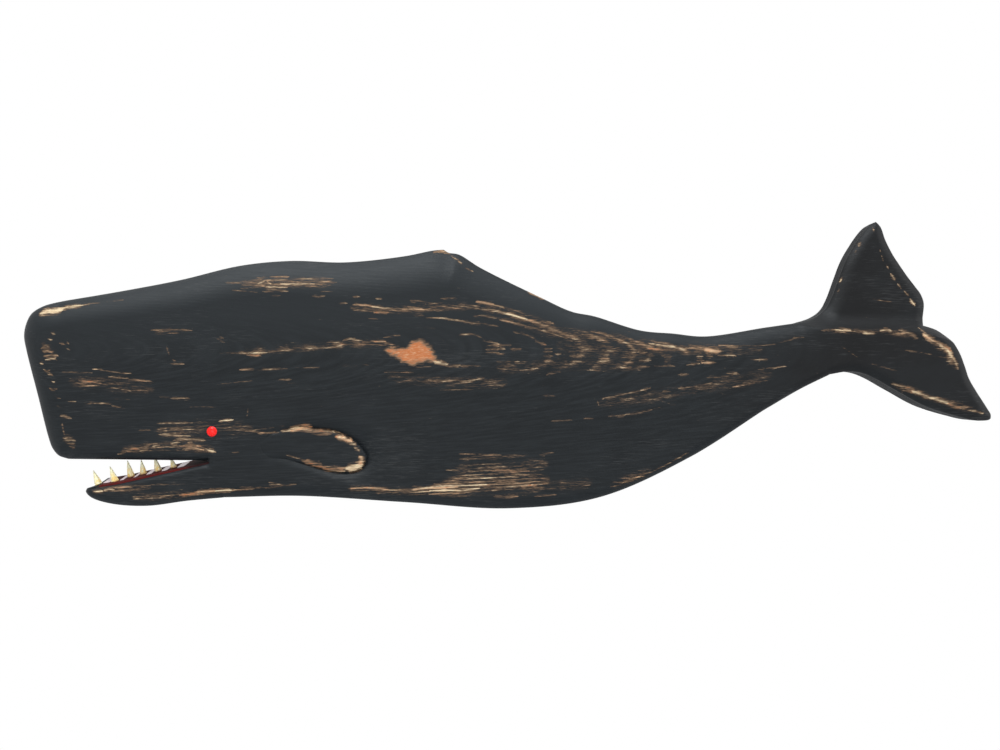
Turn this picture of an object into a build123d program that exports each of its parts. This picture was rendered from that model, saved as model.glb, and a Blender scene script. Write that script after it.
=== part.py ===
from build123d import *
import math
import os

# A carved and painted sperm whale wall plaque, cut from one pine board.
# Millimetres. +X runs from the snout to the tail and +Z is up. The flat back lies in
# the plane Y = 0, against the wall, and the carved front faces -Y. The origin is the
# middle of the back.

# The board that the whole body is carved from
BODY_LENGTH = 914.0
BODY_HEIGHT = 270.0
BOARD_THICKNESS = 38.0
FRONT_ROUNDING = 10.0
BROW_RADIUS = 31.0

# The upper fluke, whose face is cut back from the face of the board
FLUKE_SETBACK = 11.0
FLUKE_BEVEL = 6.0

# The mouth, sawn with a tilt that lifts its edge at the back
MOUTH_TILT_RISE = 5.7
LIP_ROUNDING = 9.0
JAW_BEVEL = 4.0

# The fin, left standing in a hollow of the front
FIN_LENGTH = 97.0
FIN_HEIGHT = 39.0
HOLLOW_LENGTH = 104.0
HOLLOW_HEIGHT = 60.0
HOLLOW_DEPTH = 6.5

# Teeth, whittled pegs in drilled sockets, from the tip of the jaw to the corner
TOOTH_DIAMETERS = (7.6, 7.6, 7.2, 6.8, 7.2, 6.0)
TOOTH_HEIGHTS = (14.6, 15.0, 15.5, 13.4, 14.0, 10.0)
TOOTH_LEANS = (20.0, 18.0, 12.0, 8.0, 14.0, 16.0)
TOOTH_TIP_DIAMETER = 0.7
TOOTH_INSETS = (17.5, 16.0, 24.5, 24.0, 22.5, 22.0)
SOCKET_DEPTH = 8.0
SOCKET_CLEARANCE = 0.1

# The eye, a domed tack
EYE_DIAMETER = 9.5
EYE_RIM_HEIGHT = 0.5
EYE_DOME_HEIGHT = 2.0
TACK_DIAMETER = 2.0
TACK_LENGTH = 14.0
TACK_POINT_LENGTH = 3.0
TACK_CLEARANCE = 0.1

# Keyhole hanger plates, let into the back
PLATE_LENGTH = 44.0
PLATE_WIDTH = 17.0
PLATE_THICKNESS = 1.6
PLATE_SETBACK = 0.3
PLATE_CLEARANCE = 0.3
KEYHOLE_DIAMETER = 10.0
KEYHOLE_SLOT_WIDTH = 5.0
KEYHOLE_RISE = 9.0
NAIL_ROOM_DEPTH = 9.0
NAIL_ROOM_MARGIN = 1.5

# Countersunk wood screws that hold the plates
SCREW_SPACING = 34.0
SCREW_DIAMETER = 3.4
SCREW_LENGTH = 16.0
SCREW_POINT_LENGTH = 4.0
SCREW_CLEARANCE = 0.1
DRIVE_LENGTH = 3.4
DRIVE_WIDTH = 0.8
DRIVE_DEPTH = 0.8

# How far a cutter runs past the face that it opens
OVERRUN = 5.0

# Outline of the body, clockwise from the snout, as shares of the length from the snout
# and of the height from the belly
SNOUT_FOOT_SHARES = (0.0397, 0.074)
BROW_CORNER_SHARES = (-0.0086, 0.697)
FOREHEAD_SHARES = (
    (0.037, 0.722), (0.099, 0.757), (0.161, 0.799), (0.223, 0.848),
    (0.275, 0.866), (0.332, 0.863), (0.394, 0.885), (0.434, 0.908),
)
BACK_SHARES = (
    (0.434, 0.908), (0.472, 0.842), (0.534, 0.740), (0.581, 0.676), (0.638, 0.619),
    (0.705, 0.602), (0.767, 0.633), (0.801, 0.650), (0.845, 0.666), (0.890, 0.670),
    (0.931, 0.640), (0.954, 0.604), (0.970, 0.533), (0.984, 0.414), (1.000, 0.314),
)
BELLY_SHARES = (
    (1.000, 0.314), (0.969, 0.314), (0.922, 0.359), (0.860, 0.471), (0.829, 0.464),
    (0.767, 0.345), (0.689, 0.179), (0.596, 0.039), (0.503, 0.000), (0.394, 0.021),
    (0.286, 0.044), (0.208, 0.036), (0.130, 0.008), (0.084, 0.018), (0.065, 0.061),
)
JAW_TIP_SHARES = (0.0636, 0.086)

# Outline of the upper fluke, whose foot is buried in the body
FLUKE_LEADING_SHARES = (
    (0.800, 0.560), (0.803, 0.648), (0.818, 0.676), (0.828, 0.716), (0.837, 0.793),
    (0.851, 0.898), (0.864, 0.961), (0.880, 0.999),
)
FLUKE_TRAILING_SHARES = (
    (0.880, 0.999), (0.891, 0.940), (0.914, 0.814), (0.931, 0.733), (0.931, 0.650),
    (0.924, 0.560),
)

# The mouth at the front face: its roof, its blunt corner and the line of the jaw
ROOF_START_SHARES = (0.010, 0.174)
ROOF_END_SHARES = (0.191, 0.168)
MOUTH_CORNER_SHARES = (0.193, 0.160)
JAW_LINE_SHARES = (0.010, 0.0205)

# Outline of the fin, about its middle, as shares of its own length and height
FIN_OUTLINE_SHARES = (
    (-0.50, 0.15), (-0.30, 0.46), (0.00, 0.50), (0.25, 0.38), (0.43, 0.12), (0.50, -0.20),
    (0.42, -0.44), (0.25, -0.50), (0.02, -0.38), (-0.25, -0.18), (-0.44, -0.10),
)

# Places on the body
FIN_PLACE_SHARES = (0.302, 0.204)
HOLLOW_PLACE_SHARES = (0.335, 0.197)
EYE_PLACE_SHARES = (0.1973, 0.2707)
TOOTH_ALONG_SHARES = (0.075, 0.0924, 0.1062, 0.1192, 0.1351, 0.1515)
PLATE_PLACE_SHARES = {"front": (0.24, 0.46), "rear": (0.60, 0.46)}

# Slots are cut across a screw's head at these turns
DRIVE_TURNS = (0, 90)


def on_board(shares):
    """The place across the board that these shares of its length and height give."""
    along_share, up_share = shares
    return (along_share - 0.5) * BODY_LENGTH, (up_share - 0.5) * BODY_HEIGHT


def points_on_board(shares_list):
    return [on_board(shares) for shares in shares_list]


def plane_at(depth):
    """A drawing plane parallel to the back, this far in front of it, facing the front."""
    return Plane.XZ.offset(depth)


def edges_at(part, depth):
    """The edges of a part that lie in the plane this far in front of the back."""
    near = BOARD_THICKNESS / 1000
    found = []
    for edge in part.edges():
        box = edge.bounding_box()
        if abs(box.min.Y + depth) < near and abs(box.max.Y + depth) < near:
            found.append(edge)
    return found


def mouth_rise(depth):
    """How much higher the tilted saw cut runs at this depth than at the front face."""
    return MOUTH_TILT_RISE * (1 - depth / BOARD_THICKNESS)


def jaw_height(along, depth):
    """The height of the jaw's upper face at a place along the body and a depth."""
    corner_x, corner_z = on_board(MOUTH_CORNER_SHARES)
    line_x, line_z = on_board(JAW_LINE_SHARES)
    slope = (corner_z - line_z) / (corner_x - line_x)
    return line_z + slope * (along - line_x) + mouth_rise(depth)


# The body

def step(start, end):
    """The direction in which an outline leaves one point for another."""
    return end[0] - start[0], end[1] - start[1]


def main_board():
    """Head, trunk and lower fluke, as thick as the board."""
    snout_foot = on_board(SNOUT_FOOT_SHARES)
    brow_corner = on_board(BROW_CORNER_SHARES)
    forehead = points_on_board(FOREHEAD_SHARES)
    jaw_tip = points_on_board((BELLY_SHARES[-1], JAW_TIP_SHARES, SNOUT_FOOT_SHARES))
    forehead_ends = (step(brow_corner, forehead[0]), step(forehead[-2], forehead[-1]))
    with BuildPart() as board:
        with BuildSketch(plane_at(0)):
            with BuildLine():
                FilletPolyline(snout_foot, brow_corner, forehead[0], radius=BROW_RADIUS)
                Spline(*forehead, tangents=forehead_ends)
                Spline(*points_on_board(BACK_SHARES))
                Spline(*points_on_board(BELLY_SHARES))
                Polyline(*jaw_tip)
            make_face()
        extrude(amount=BOARD_THICKNESS)
        fillet(edges_at(board.part, BOARD_THICKNESS), FRONT_ROUNDING)
    return board.part


def upper_fluke():
    """The upper fluke, thinner than the board by its setback."""
    fluke_thickness = BOARD_THICKNESS - FLUKE_SETBACK
    with BuildPart() as fluke:
        with BuildSketch(plane_at(0)):
            with BuildLine():
                Spline(*points_on_board(FLUKE_LEADING_SHARES))
                Spline(*points_on_board(FLUKE_TRAILING_SHARES))
                Line(*points_on_board((FLUKE_TRAILING_SHARES[-1], FLUKE_LEADING_SHARES[0])))
            make_face()
        extrude(amount=fluke_thickness)
        chamfer(edges_at(fluke.part, fluke_thickness), FLUKE_BEVEL)
    return fluke.part


def mouth_section(depth):
    """The section of the mouth's saw cut at a depth."""
    roof = points_on_board((ROOF_START_SHARES, ROOF_END_SHARES))
    jaw = points_on_board((MOUTH_CORNER_SHARES, JAW_LINE_SHARES))
    with BuildSketch(plane_at(depth)) as section:
        with BuildLine():
            Polyline(*[(x, z + mouth_rise(depth)) for x, z in roof + jaw], close=True)
        make_face()
    return section.sketch


def bevel_section(depth):
    """The section of the cut that bevels the jaw's near edge, deeper towards the front."""
    drop = JAW_BEVEL + depth - BOARD_THICKNESS
    outline = points_on_board((MOUTH_CORNER_SHARES, JAW_LINE_SHARES, ROOF_START_SHARES))
    with BuildSketch(plane_at(depth)) as section:
        with BuildLine():
            Polyline(*[(x, z + mouth_rise(depth) - drop) for x, z in outline], close=True)
        make_face()
    return section.sketch


def mouth_cut():
    return loft([mouth_section(depth) for depth in (-OVERRUN, BOARD_THICKNESS + OVERRUN)], ruled=True)


def jaw_bevel_cut():
    bevel_foot = BOARD_THICKNESS - JAW_BEVEL
    return loft([bevel_section(depth) for depth in (bevel_foot, BOARD_THICKNESS + OVERRUN)], ruled=True)


def round_head_corner(body):
    """Round the lower corner of the head, and the lip of the mouth that runs on from it."""
    corner_z = on_board(ROOF_START_SHARES)[1]
    mouth_x = on_board(MOUTH_CORNER_SHARES)[0]
    upright = [
        edge for edge in body.edges()
        if edge.bounding_box().size.Y > BOARD_THICKNESS / 2
        and edge.center().X < mouth_x
        and abs(edge.center().Z - corner_z) < MOUTH_TILT_RISE
    ]
    return body.fillet(LIP_ROUNDING, [min(upright, key=lambda edge: edge.center().X)])


def fin_solid():
    """The fin as it stands in its hollow, up to the face of the board."""
    fin_x, fin_z = on_board(FIN_PLACE_SHARES)
    outline = [(fin_x + x * FIN_LENGTH, fin_z + z * FIN_HEIGHT) for x, z in FIN_OUTLINE_SHARES]
    with BuildPart() as fin:
        with BuildSketch(plane_at(BOARD_THICKNESS - HOLLOW_DEPTH - OVERRUN)):
            with BuildLine():
                Spline(*outline, periodic=True)
            make_face()
        extrude(amount=HOLLOW_DEPTH + OVERRUN)
    return fin.part


def hollow_cut():
    """A long shallow dish, round about an axis that runs along the body."""
    hollow_x, hollow_z = on_board(HOLLOW_PLACE_SHARES)
    half_length = HOLLOW_LENGTH / 2
    half_height = HOLLOW_HEIGHT / 2
    radius = (half_height ** 2 + HOLLOW_DEPTH ** 2) / (2 * HOLLOW_DEPTH)
    rim_radius = radius - HOLLOW_DEPTH
    axis_plane = Plane(
        origin=(hollow_x, -BOARD_THICKNESS - rim_radius, hollow_z),
        x_dir=(1, 0, 0),
        z_dir=(0, 0, 1),
    )
    with BuildPart() as hollow:
        with BuildSketch(axis_plane):
            with BuildLine():
                ThreePointArc((-half_length, rim_radius), (0, radius), (half_length, rim_radius))
                Polyline(
                    (half_length, rim_radius), (half_length, 0),
                    (-half_length, 0), (-half_length, rim_radius),
                )
            make_face()
        revolve(axis=Axis(axis_plane.origin, axis_plane.x_dir))
    return hollow.part


def carved_body():
    body = main_board() + upper_fluke()
    body = round_head_corner(body - mouth_cut()) - jaw_bevel_cut()
    body -= hollow_cut() - fin_solid()
    body -= [tooth_socket(number) for number in range(len(TOOTH_ALONG_SHARES))]
    body -= eye_hole()
    for place_shares in PLATE_PLACE_SHARES.values():
        body -= plate_pocket(place_shares)
    return body


# The teeth

def tooth_place(number):
    """Where a tooth's axis meets the jaw, with its local Z along the leaning tooth."""
    along = on_board((TOOTH_ALONG_SHARES[number], 0))[0]
    depth = BOARD_THICKNESS - TOOTH_INSETS[number]
    return Location((along, -depth, jaw_height(along, depth)), (0, -TOOTH_LEANS[number], 0))


def tooth(number):
    """A round peg whose upper end is whittled to a point."""
    radius = TOOTH_DIAMETERS[number] / 2
    height = TOOTH_HEIGHTS[number]
    with BuildPart() as peg:
        with BuildSketch(Plane.XZ):
            with BuildLine():
                Polyline(
                    (0, -SOCKET_DEPTH), (radius, -SOCKET_DEPTH), (radius, 0),
                    (TOOTH_TIP_DIAMETER / 2, height), (0, height), (0, -SOCKET_DEPTH),
                )
            make_face()
        revolve(axis=Axis.Z)
    return tooth_place(number) * peg.part


def tooth_socket(number):
    radius = (TOOTH_DIAMETERS[number] + SOCKET_CLEARANCE) / 2
    drilled = Cylinder(radius, SOCKET_DEPTH + OVERRUN, align=(Align.CENTER, Align.CENTER, Align.MIN))
    return tooth_place(number) * Pos(0, 0, -SOCKET_DEPTH) * drilled


# The eye

def facing_out(shares):
    """A place on the front face, with its local Z pointing out of the face."""
    x, z = on_board(shares)
    return Location((x, -BOARD_THICKNESS, z), (90, 0, 0))


def eye_tack():
    """A tack with a low domed head on a short rim, and a pointed shank."""
    head_radius = EYE_DIAMETER / 2
    shank_radius = TACK_DIAMETER / 2
    dome_radius = (head_radius ** 2 + EYE_DOME_HEIGHT ** 2) / (2 * EYE_DOME_HEIGHT)
    dome_centre = EYE_RIM_HEIGHT + EYE_DOME_HEIGHT - dome_radius
    dome_start = math.degrees(math.acos(head_radius / dome_radius))
    with BuildPart() as tack:
        with BuildSketch(Plane.XZ):
            with BuildLine():
                Polyline(
                    (0, -TACK_LENGTH), (shank_radius, TACK_POINT_LENGTH - TACK_LENGTH),
                    (shank_radius, 0), (head_radius, 0), (head_radius, EYE_RIM_HEIGHT),
                )
                CenterArc((0, dome_centre), dome_radius, dome_start, 90 - dome_start)
                Line((0, EYE_RIM_HEIGHT + EYE_DOME_HEIGHT), (0, -TACK_LENGTH))
            make_face()
        revolve(axis=Axis.Z)
    return facing_out(EYE_PLACE_SHARES) * tack.part


def eye_hole():
    radius = (TACK_DIAMETER + TACK_CLEARANCE) / 2
    drilled = Cylinder(radius, TACK_LENGTH + OVERRUN, align=(Align.CENTER, Align.CENTER, Align.MIN))
    return facing_out(EYE_PLACE_SHARES) * Pos(0, 0, -TACK_LENGTH) * drilled


# The hanger plates and their screws, drawn with local Z pointing out of the back and
# local Y up

def on_back(shares):
    """A place on the outer face of a plate, with its local Z pointing at the wall."""
    x, z = on_board(shares)
    return Location(Plane(origin=(x, -PLATE_SETBACK, z), x_dir=(-1, 0, 0), z_dir=(0, 1, 0)))


def screw_heights():
    return (SCREW_SPACING / 2, -SCREW_SPACING / 2)


def screw_head_diameter():
    """A right-angled countersunk head that is just as deep as the plate."""
    return SCREW_DIAMETER + 2 * PLATE_THICKNESS


def keyhole_section():
    """A round hole that lets a screw's head in, and the slot above it for its shank."""
    with BuildSketch() as keyhole:
        with Locations((0, -KEYHOLE_RISE / 2)):
            Circle(KEYHOLE_DIAMETER / 2)
        SlotCenterToCenter(KEYHOLE_RISE, KEYHOLE_SLOT_WIDTH, rotation=90)
    return keyhole.sketch


def nail_room_section():
    """The room in the wood for the head of the nail or screw on the wall."""
    width = KEYHOLE_DIAMETER + 2 * NAIL_ROOM_MARGIN
    with BuildSketch() as room:
        SlotCenterToCenter(KEYHOLE_RISE, width, rotation=90)
    return room.sketch


def hanger_plate(place_shares):
    """A round-ended plate with a keyhole between two countersunk screw holes."""
    hole_radius = (SCREW_DIAMETER + SCREW_CLEARANCE) / 2
    head_radius = (screw_head_diameter() + SCREW_CLEARANCE) / 2
    with BuildPart() as plate:
        with BuildSketch(Plane.XY.offset(-PLATE_THICKNESS)):
            SlotOverall(PLATE_LENGTH, PLATE_WIDTH, rotation=90)
        extrude(amount=PLATE_THICKNESS)
        with BuildSketch(Plane.XY.offset(-PLATE_THICKNESS)):
            add(keyhole_section())
        extrude(amount=PLATE_THICKNESS, mode=Mode.SUBTRACT)
        with Locations(*[(0, height, -PLATE_THICKNESS) for height in screw_heights()]):
            Cone(
                hole_radius, head_radius, PLATE_THICKNESS,
                align=(Align.CENTER, Align.CENTER, Align.MIN), mode=Mode.SUBTRACT,
            )
    return on_back(place_shares) * plate.part


def hanger_screw(place_shares, height):
    """A countersunk wood screw with a cross drive and a pointed end."""
    head_radius = screw_head_diameter() / 2
    shank_radius = SCREW_DIAMETER / 2
    with BuildPart() as screw:
        with BuildSketch(Plane.XZ):
            with BuildLine():
                Polyline(
                    (0, 0), (head_radius, 0), (shank_radius, -PLATE_THICKNESS),
                    (shank_radius, SCREW_POINT_LENGTH - SCREW_LENGTH), (0, -SCREW_LENGTH), (0, 0),
                )
            make_face()
        revolve(axis=Axis.Z)
        for turn in DRIVE_TURNS:
            with Locations(Location((0, 0, 0), (0, 0, turn))):
                Box(
                    DRIVE_LENGTH, DRIVE_WIDTH, DRIVE_DEPTH,
                    align=(Align.CENTER, Align.CENTER, Align.MAX), mode=Mode.SUBTRACT,
                )
    return on_back(place_shares) * Pos(0, height, 0) * screw.part


def plate_pocket(place_shares):
    """The pocket that a plate lies in, its nail room and the pilot holes of its screws."""
    pocket_length = PLATE_LENGTH + 2 * PLATE_CLEARANCE
    pocket_width = PLATE_WIDTH + 2 * PLATE_CLEARANCE
    pilot_radius = (SCREW_DIAMETER + SCREW_CLEARANCE) / 2
    with BuildPart() as pocket:
        with BuildSketch(Plane.XY.offset(-PLATE_THICKNESS)):
            SlotOverall(pocket_length, pocket_width, rotation=90)
        extrude(amount=PLATE_THICKNESS + OVERRUN)
        with BuildSketch(Plane.XY.offset(-PLATE_THICKNESS - NAIL_ROOM_DEPTH)):
            add(nail_room_section())
        extrude(amount=NAIL_ROOM_DEPTH + OVERRUN)
        with Locations(*[(0, height, -SCREW_LENGTH) for height in screw_heights()]):
            Cylinder(pilot_radius, SCREW_LENGTH, align=(Align.CENTER, Align.CENTER, Align.MIN))
    return on_back(place_shares) * pocket.part


# Writing the pieces

def pieces():
    yield "carved_body", carved_body()
    yield "eye_tack", eye_tack()
    for number in range(len(TOOTH_ALONG_SHARES)):
        yield f"tooth_{number + 1}", tooth(number)
    screw_number = 0
    for end_name, place_shares in PLATE_PLACE_SHARES.items():
        yield f"hanger_plate_{end_name}", hanger_plate(place_shares)
        for height in screw_heights():
            screw_number += 1
            yield f"hanger_screw_{screw_number}", hanger_screw(place_shares, height)


os.makedirs("parts", exist_ok=True)
for node_name, solid in pieces():
    export_step(solid, f"parts/{node_name}.step")
    print(node_name, round(solid.volume), "mm3")
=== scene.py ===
import math

import bpy
import numpy as np
from mathutils import Matrix, Vector, noise
from mathutils.geometry import delaunay_2d_cdt
from mathutils.kdtree import KDTree

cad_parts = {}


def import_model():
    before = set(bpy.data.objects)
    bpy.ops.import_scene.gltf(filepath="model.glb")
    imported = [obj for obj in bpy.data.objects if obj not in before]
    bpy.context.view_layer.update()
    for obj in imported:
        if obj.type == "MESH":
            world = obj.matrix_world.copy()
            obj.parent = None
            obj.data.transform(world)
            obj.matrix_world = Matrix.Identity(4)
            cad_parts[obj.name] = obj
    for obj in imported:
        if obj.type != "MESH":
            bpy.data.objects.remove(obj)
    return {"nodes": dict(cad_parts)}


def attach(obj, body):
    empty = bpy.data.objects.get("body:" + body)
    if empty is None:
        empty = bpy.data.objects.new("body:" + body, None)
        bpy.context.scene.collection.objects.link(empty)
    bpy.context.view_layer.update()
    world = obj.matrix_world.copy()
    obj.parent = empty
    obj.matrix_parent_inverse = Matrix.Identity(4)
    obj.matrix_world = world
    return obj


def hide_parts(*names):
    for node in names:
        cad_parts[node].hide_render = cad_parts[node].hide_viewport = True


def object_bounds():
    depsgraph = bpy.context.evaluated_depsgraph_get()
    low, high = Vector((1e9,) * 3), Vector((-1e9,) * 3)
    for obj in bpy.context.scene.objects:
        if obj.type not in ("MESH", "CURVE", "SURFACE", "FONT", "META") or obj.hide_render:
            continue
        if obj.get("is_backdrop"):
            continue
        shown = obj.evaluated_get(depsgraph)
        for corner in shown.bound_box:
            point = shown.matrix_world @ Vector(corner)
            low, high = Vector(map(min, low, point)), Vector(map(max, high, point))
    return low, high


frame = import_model()
cad_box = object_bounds()

# A carved and painted sperm whale wall plaque. Sizes are in millimetres and become metres
# when a mesh is made. X runs from the snout to the tail, Z is up, the flat back lies at
# Y = 0 and the carved front faces -Y. Depth is measured from the back to the front.
MM = 0.001
TINY = 1e-6

# The board
BODY_LENGTH = 914.0
BODY_HEIGHT = 270.0
BOARD_THICKNESS = 38.0
BACK_EASING = 1.2
BACK_EDGE_INSET = 0.8
SHARP_ANGLE = 48.0

# How the rounded front edges fall: a bevel and a roll, blended, each edge kept apart from
# the next by the sharpness
BEVEL_BLEND = 0.45
BEVEL_POWER = 1.5
EDGE_SHARPNESS = 6

# The mouth's saw cut, which rises towards the back. The rise fades out over a few
# millimetres of the jaw and the snout.
MOUTH_TILT_RISE = 5.7
JAW_TIP_TILT = 0.1
JAW_TILT_SPAN = (2, 10)
JAW_FADE = 6
SNOUT_FADE = 14

# Red paint in the mouth: how far back its roof stays black, how far behind the first
# tooth the red starts, and how wide it laps over the front of the jaw
ROOF_BLACK_SHARE = 0.3
RED_START_SPAN = (2, 6)
RED_LAP = 1.6

# Where the red is glossy and carries a painted pinkish-white highlight: shares of the way back,
# distance from a tooth's middle, and the distances behind the first and the last tooth at
# which it starts and ends
GLOSS_HIGHLIGHT_NEAR_SHARES = (0.27, 0.38)
GLOSS_HIGHLIGHT_FAR_SHARES = (0.93, 1.0)
GLOSS_HIGHLIGHT_TOOTH_SPAN = (3.4, 5.2)
GLOSS_HIGHLIGHT_START_SPAN = (-1, 1)
GLOSS_HIGHLIGHT_END_SPAN = (9, 16)

# The upper fluke, cut back from the face behind a ridge
FLUKE_SETBACK = 11.0
RIDGE_SLOPE_WIDTH = 17.0
RIDGE_SLOPE_POWER = 1.7
RIDGE_START_LENGTH = 37.4

# The fin and the hollow around it
FIN_LENGTH = 97.0
FIN_HEIGHT = 39.0
FIN_ARRIS_WIDTH = 3.0
FIN_ARRIS_DROP = 0.9
FIN_WALL_WIDTH = 1.4
HOLLOW_DEEP = 5.6
HOLLOW_SHALLOW = 2.2
HOLLOW_REACH_LONG = 25.0
HOLLOW_REACH_SHORT = 7.0
HOLLOW_HEADING = 18.0
HOLLOW_FOCUS = 1.4
HOLLOW_FADE_POWER = 1.8
FIN_ROOT_RELIEF = 0.25
FIN_ROOT_SHARES = (-0.5, -0.1)

# Spacing of the points along lines and in the mesh of the body
CURVE_FINENESS = 4
WEAR_SPACING = 1.0
OUTLINE_SPACING = 1.5
GRID_SPACING = 1.6
BACK_SPACING = 9.0
INSET_RINGS = (0.15, 0.5, 1.1, 1.9, 2.9, 4.1, 5.5, 7.0, 8.6)
RING_GAP_SHARE = 0.34
WIDEST_RING_GAP = 2.0
CROWDED_SHARE = 0.93
GRID_GAP_SHARE = 0.72
FEATURE_GAP = 0.55
EDGE_MARGIN = 0.8
MERGE_DISTANCE = 1e-5
BACK_BORDER_INSET = 5.0
BACK_BORDER_GAP = 3.0
BACK_GAP_SHARE = 0.6
FIN_LINE_INSETS = (0.0, -0.7, -1.4, -2.4, 0.8, 1.8, 3.0)
STREAK_LINE_SHARE = 0.8
WALL_SHARES = (0.04, 0.12, 0.22, 0.34, 0.46, 0.58, 0.7, 0.82, 0.93, 1.0)

# Unevenness left by the hand that shaped the board: height and length of the waves, how
# much shorter they are across the board, and how near the edge they fade out
WAVES = ((0.45, 110.0), (0.16, 34.0))
WAVE_NARROWING = 1.6
WAVE_SHIFT = 7.3
HIGHEST_WAVE = 0.2
WAVE_FADE = (4, 30)

# Growth rings of the flat-sawn board, whose arches point to the tail
RING_CENTRE_UP_SHARE = 0.555
RING_HEIGHT_AT_SNOUT = 16.0
RING_HEIGHT_GAIN = 0.115

# Teeth
TOOTH_DIAMETERS = (7.6, 7.6, 7.2, 6.8, 7.2, 6.0)
TOOTH_HEIGHTS = (14.6, 15.0, 15.5, 13.4, 14.0, 10.0)
TOOTH_LEANS = (20.0, 18.0, 12.0, 8.0, 14.0, 16.0)
TOOTH_ALONG_SHARES = (0.075, 0.0924, 0.1062, 0.1192, 0.1351, 0.1515)
TOOTH_INSETS = (17.5, 16.0, 24.5, 24.0, 22.5, 22.0)
TOOTH_BURIED = 4.0
TOOTH_SIDES = 22
TOOTH_RINGS = 16
TOOTH_TIP_SHARE = 0.06
TOOTH_TAPER_POWER = 0.86
TOOTH_FLATNESS = 0.94
TOOTH_HOOK = 0.5
TOOTH_FACETS = 5
FACET_SHARE = 0.055
KNIFE_CUT_SHARE = 0.10
KNIFE_CUT_TURN = 1.7
KNIFE_CUT_RISE = 0.12
KNIFE_CUT_SHIFT = 9

# Pockets in the back
PLATE_SHARES = ((0.24, 0.46), (0.60, 0.46))
POCKET_LENGTH = 44.6
POCKET_WIDTH = 17.6
POCKET_DEPTH = 1.9
NAIL_ROOM_LENGTH = 22.0
NAIL_ROOM_WIDTH = 13.0
NAIL_ROOM_DEPTH = 9.0
POCKET_SIDES = 24

# The camera, in front of the middle of the photograph's frame
IMAGE_WIDTH = 1000.0
IMAGE_HEIGHT = 750.0
SENSOR_WIDTH = 36.0
CAMERA_TO_FACE = 1100.0
SILHOUETTE_DEPTH = 27.0

# The photograph's pixels: the snout's end, the belly's lowest point and the object's size
SNOUT_PIXEL = 24.3
BELLY_PIXEL = 508.0
LENGTH_PIXELS = 965.6
HEIGHT_PIXELS = 285.0

# Outline of the body as the photograph shows it, clockwise from the lip, as shares of the
# length from the snout and of the height from the belly. Each stretch has the width and
# the drop of its rounded front edge at its start and its end, in millimetres.
STRETCHES = {
    "snout": ((21, 12), (24, 14), (
        (0.0445, 0.173), (0.0355, 0.184), (0.0291, 0.209), (0.0250, 0.245), (0.0137, 0.393),
        (0.0016, 0.551), (-0.0011, 0.603), (0.0006, 0.642), (0.0065, 0.682), (0.0190, 0.709),
        (0.0360, 0.725),
    )),
    "forehead": ((24, 14), (38, 15), (
        (0.036, 0.725), (0.099, 0.761), (0.161, 0.801), (0.223, 0.851), (0.275, 0.868),
        (0.332, 0.863), (0.394, 0.885), (0.422, 0.904), (0.434, 0.908),
    )),
    "back": ((38, 15), (15, 10), (
        (0.434, 0.908), (0.439, 0.897), (0.450, 0.890), (0.472, 0.844), (0.534, 0.740),
        (0.567, 0.689), (0.590, 0.673), (0.638, 0.623), (0.672, 0.612), (0.705, 0.602),
        (0.767, 0.633), (0.798, 0.648),
    )),
    "fluke_leading": ((15, 9), (9, 5), (
        (0.798, 0.648), (0.814, 0.666), (0.823, 0.688), (0.830, 0.730), (0.837, 0.793),
        (0.844, 0.856), (0.8505, 0.898), (0.859, 0.940), (0.8702, 0.982), (0.8785, 0.999),
    )),
    "fluke_trailing": ((9, 5), (9, 5), (
        (0.8785, 0.999), (0.8838, 0.981), (0.8895, 0.938), (0.8972, 0.894), (0.905, 0.856),
        (0.914, 0.814), (0.924, 0.772), (0.9286, 0.751), (0.932, 0.719), (0.931, 0.667),
        (0.9305, 0.640),
    )),
    "lower_trailing": ((8, 5), (9, 6), (
        (0.9305, 0.640), (0.944, 0.625), (0.9535, 0.602), (0.960, 0.580), (0.9676, 0.540),
        (0.9728, 0.498), (0.977, 0.456), (0.984, 0.414), (0.992, 0.372), (1.000, 0.330),
    )),
    "lower_leading": ((9, 6), (9, 6), (
        (1.000, 0.330), (0.998, 0.313), (0.985, 0.308), (0.969, 0.314), (0.922, 0.359),
        (0.891, 0.415), (0.860, 0.471), (0.845, 0.478), (0.829, 0.469),
    )),
    "belly": ((7, 6), (12, 8), (
        (0.829, 0.469), (0.801, 0.419), (0.767, 0.347), (0.689, 0.179), (0.596, 0.039),
        (0.503, 0.000), (0.394, 0.022), (0.286, 0.044), (0.208, 0.039),
    )),
    "jaw": ((10, 7), (8, 6), (
        (0.208, 0.039), (0.170, 0.0272), (0.130, 0.010), (0.0975, 0.0145), (0.0765, 0.031),
        (0.0688, 0.0455), (0.0657, 0.061), (0.0670, 0.0715),
    )),
    "jaw_line": ((4.5, 4), (4.5, 4), (
        (0.0670, 0.0715), (0.100, 0.089), (0.150, 0.1272), (0.193, 0.160),
    )),
    "mouth_corner": ((5, 4), (9, 6), ((0.193, 0.160), (0.191, 0.168))),
    "roof": ((9, 7), (10, 8), (
        (0.191, 0.168), (0.150, 0.169), (0.100, 0.171), (0.0445, 0.173),
    )),
}

# The straight cuts of the mouth
MOUTH_STRETCHES = ("jaw_line", "mouth_corner", "roof")

# Depth of the edge that the photograph shows along each stretch of the flukes, from the
# stretch's start to its end. The camera looks along the body there, so it sees the back
# of one edge and the front of the other.
SEEN_DEPTHS = {
    "fluke_leading": (14, 2, 2, 2, 12),
    "fluke_trailing": (12, 20, 23, 24),
    "lower_trailing": (24, 30, 30),
    "lower_leading": (30, 6, 2, 2, 14),
    "belly": (14, 30, 30, 30, 30, 29, 28, 27, 27, 27),
}

# The ridge between the two flukes, from the back of the peduncle to the notch
RIDGE_SHARES = (
    (0.786, 0.655), (0.802, 0.640), (0.820, 0.627), (0.845, 0.622), (0.886, 0.620),
    (0.915, 0.617), (0.932, 0.606), (0.960, 0.580),
)

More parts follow.
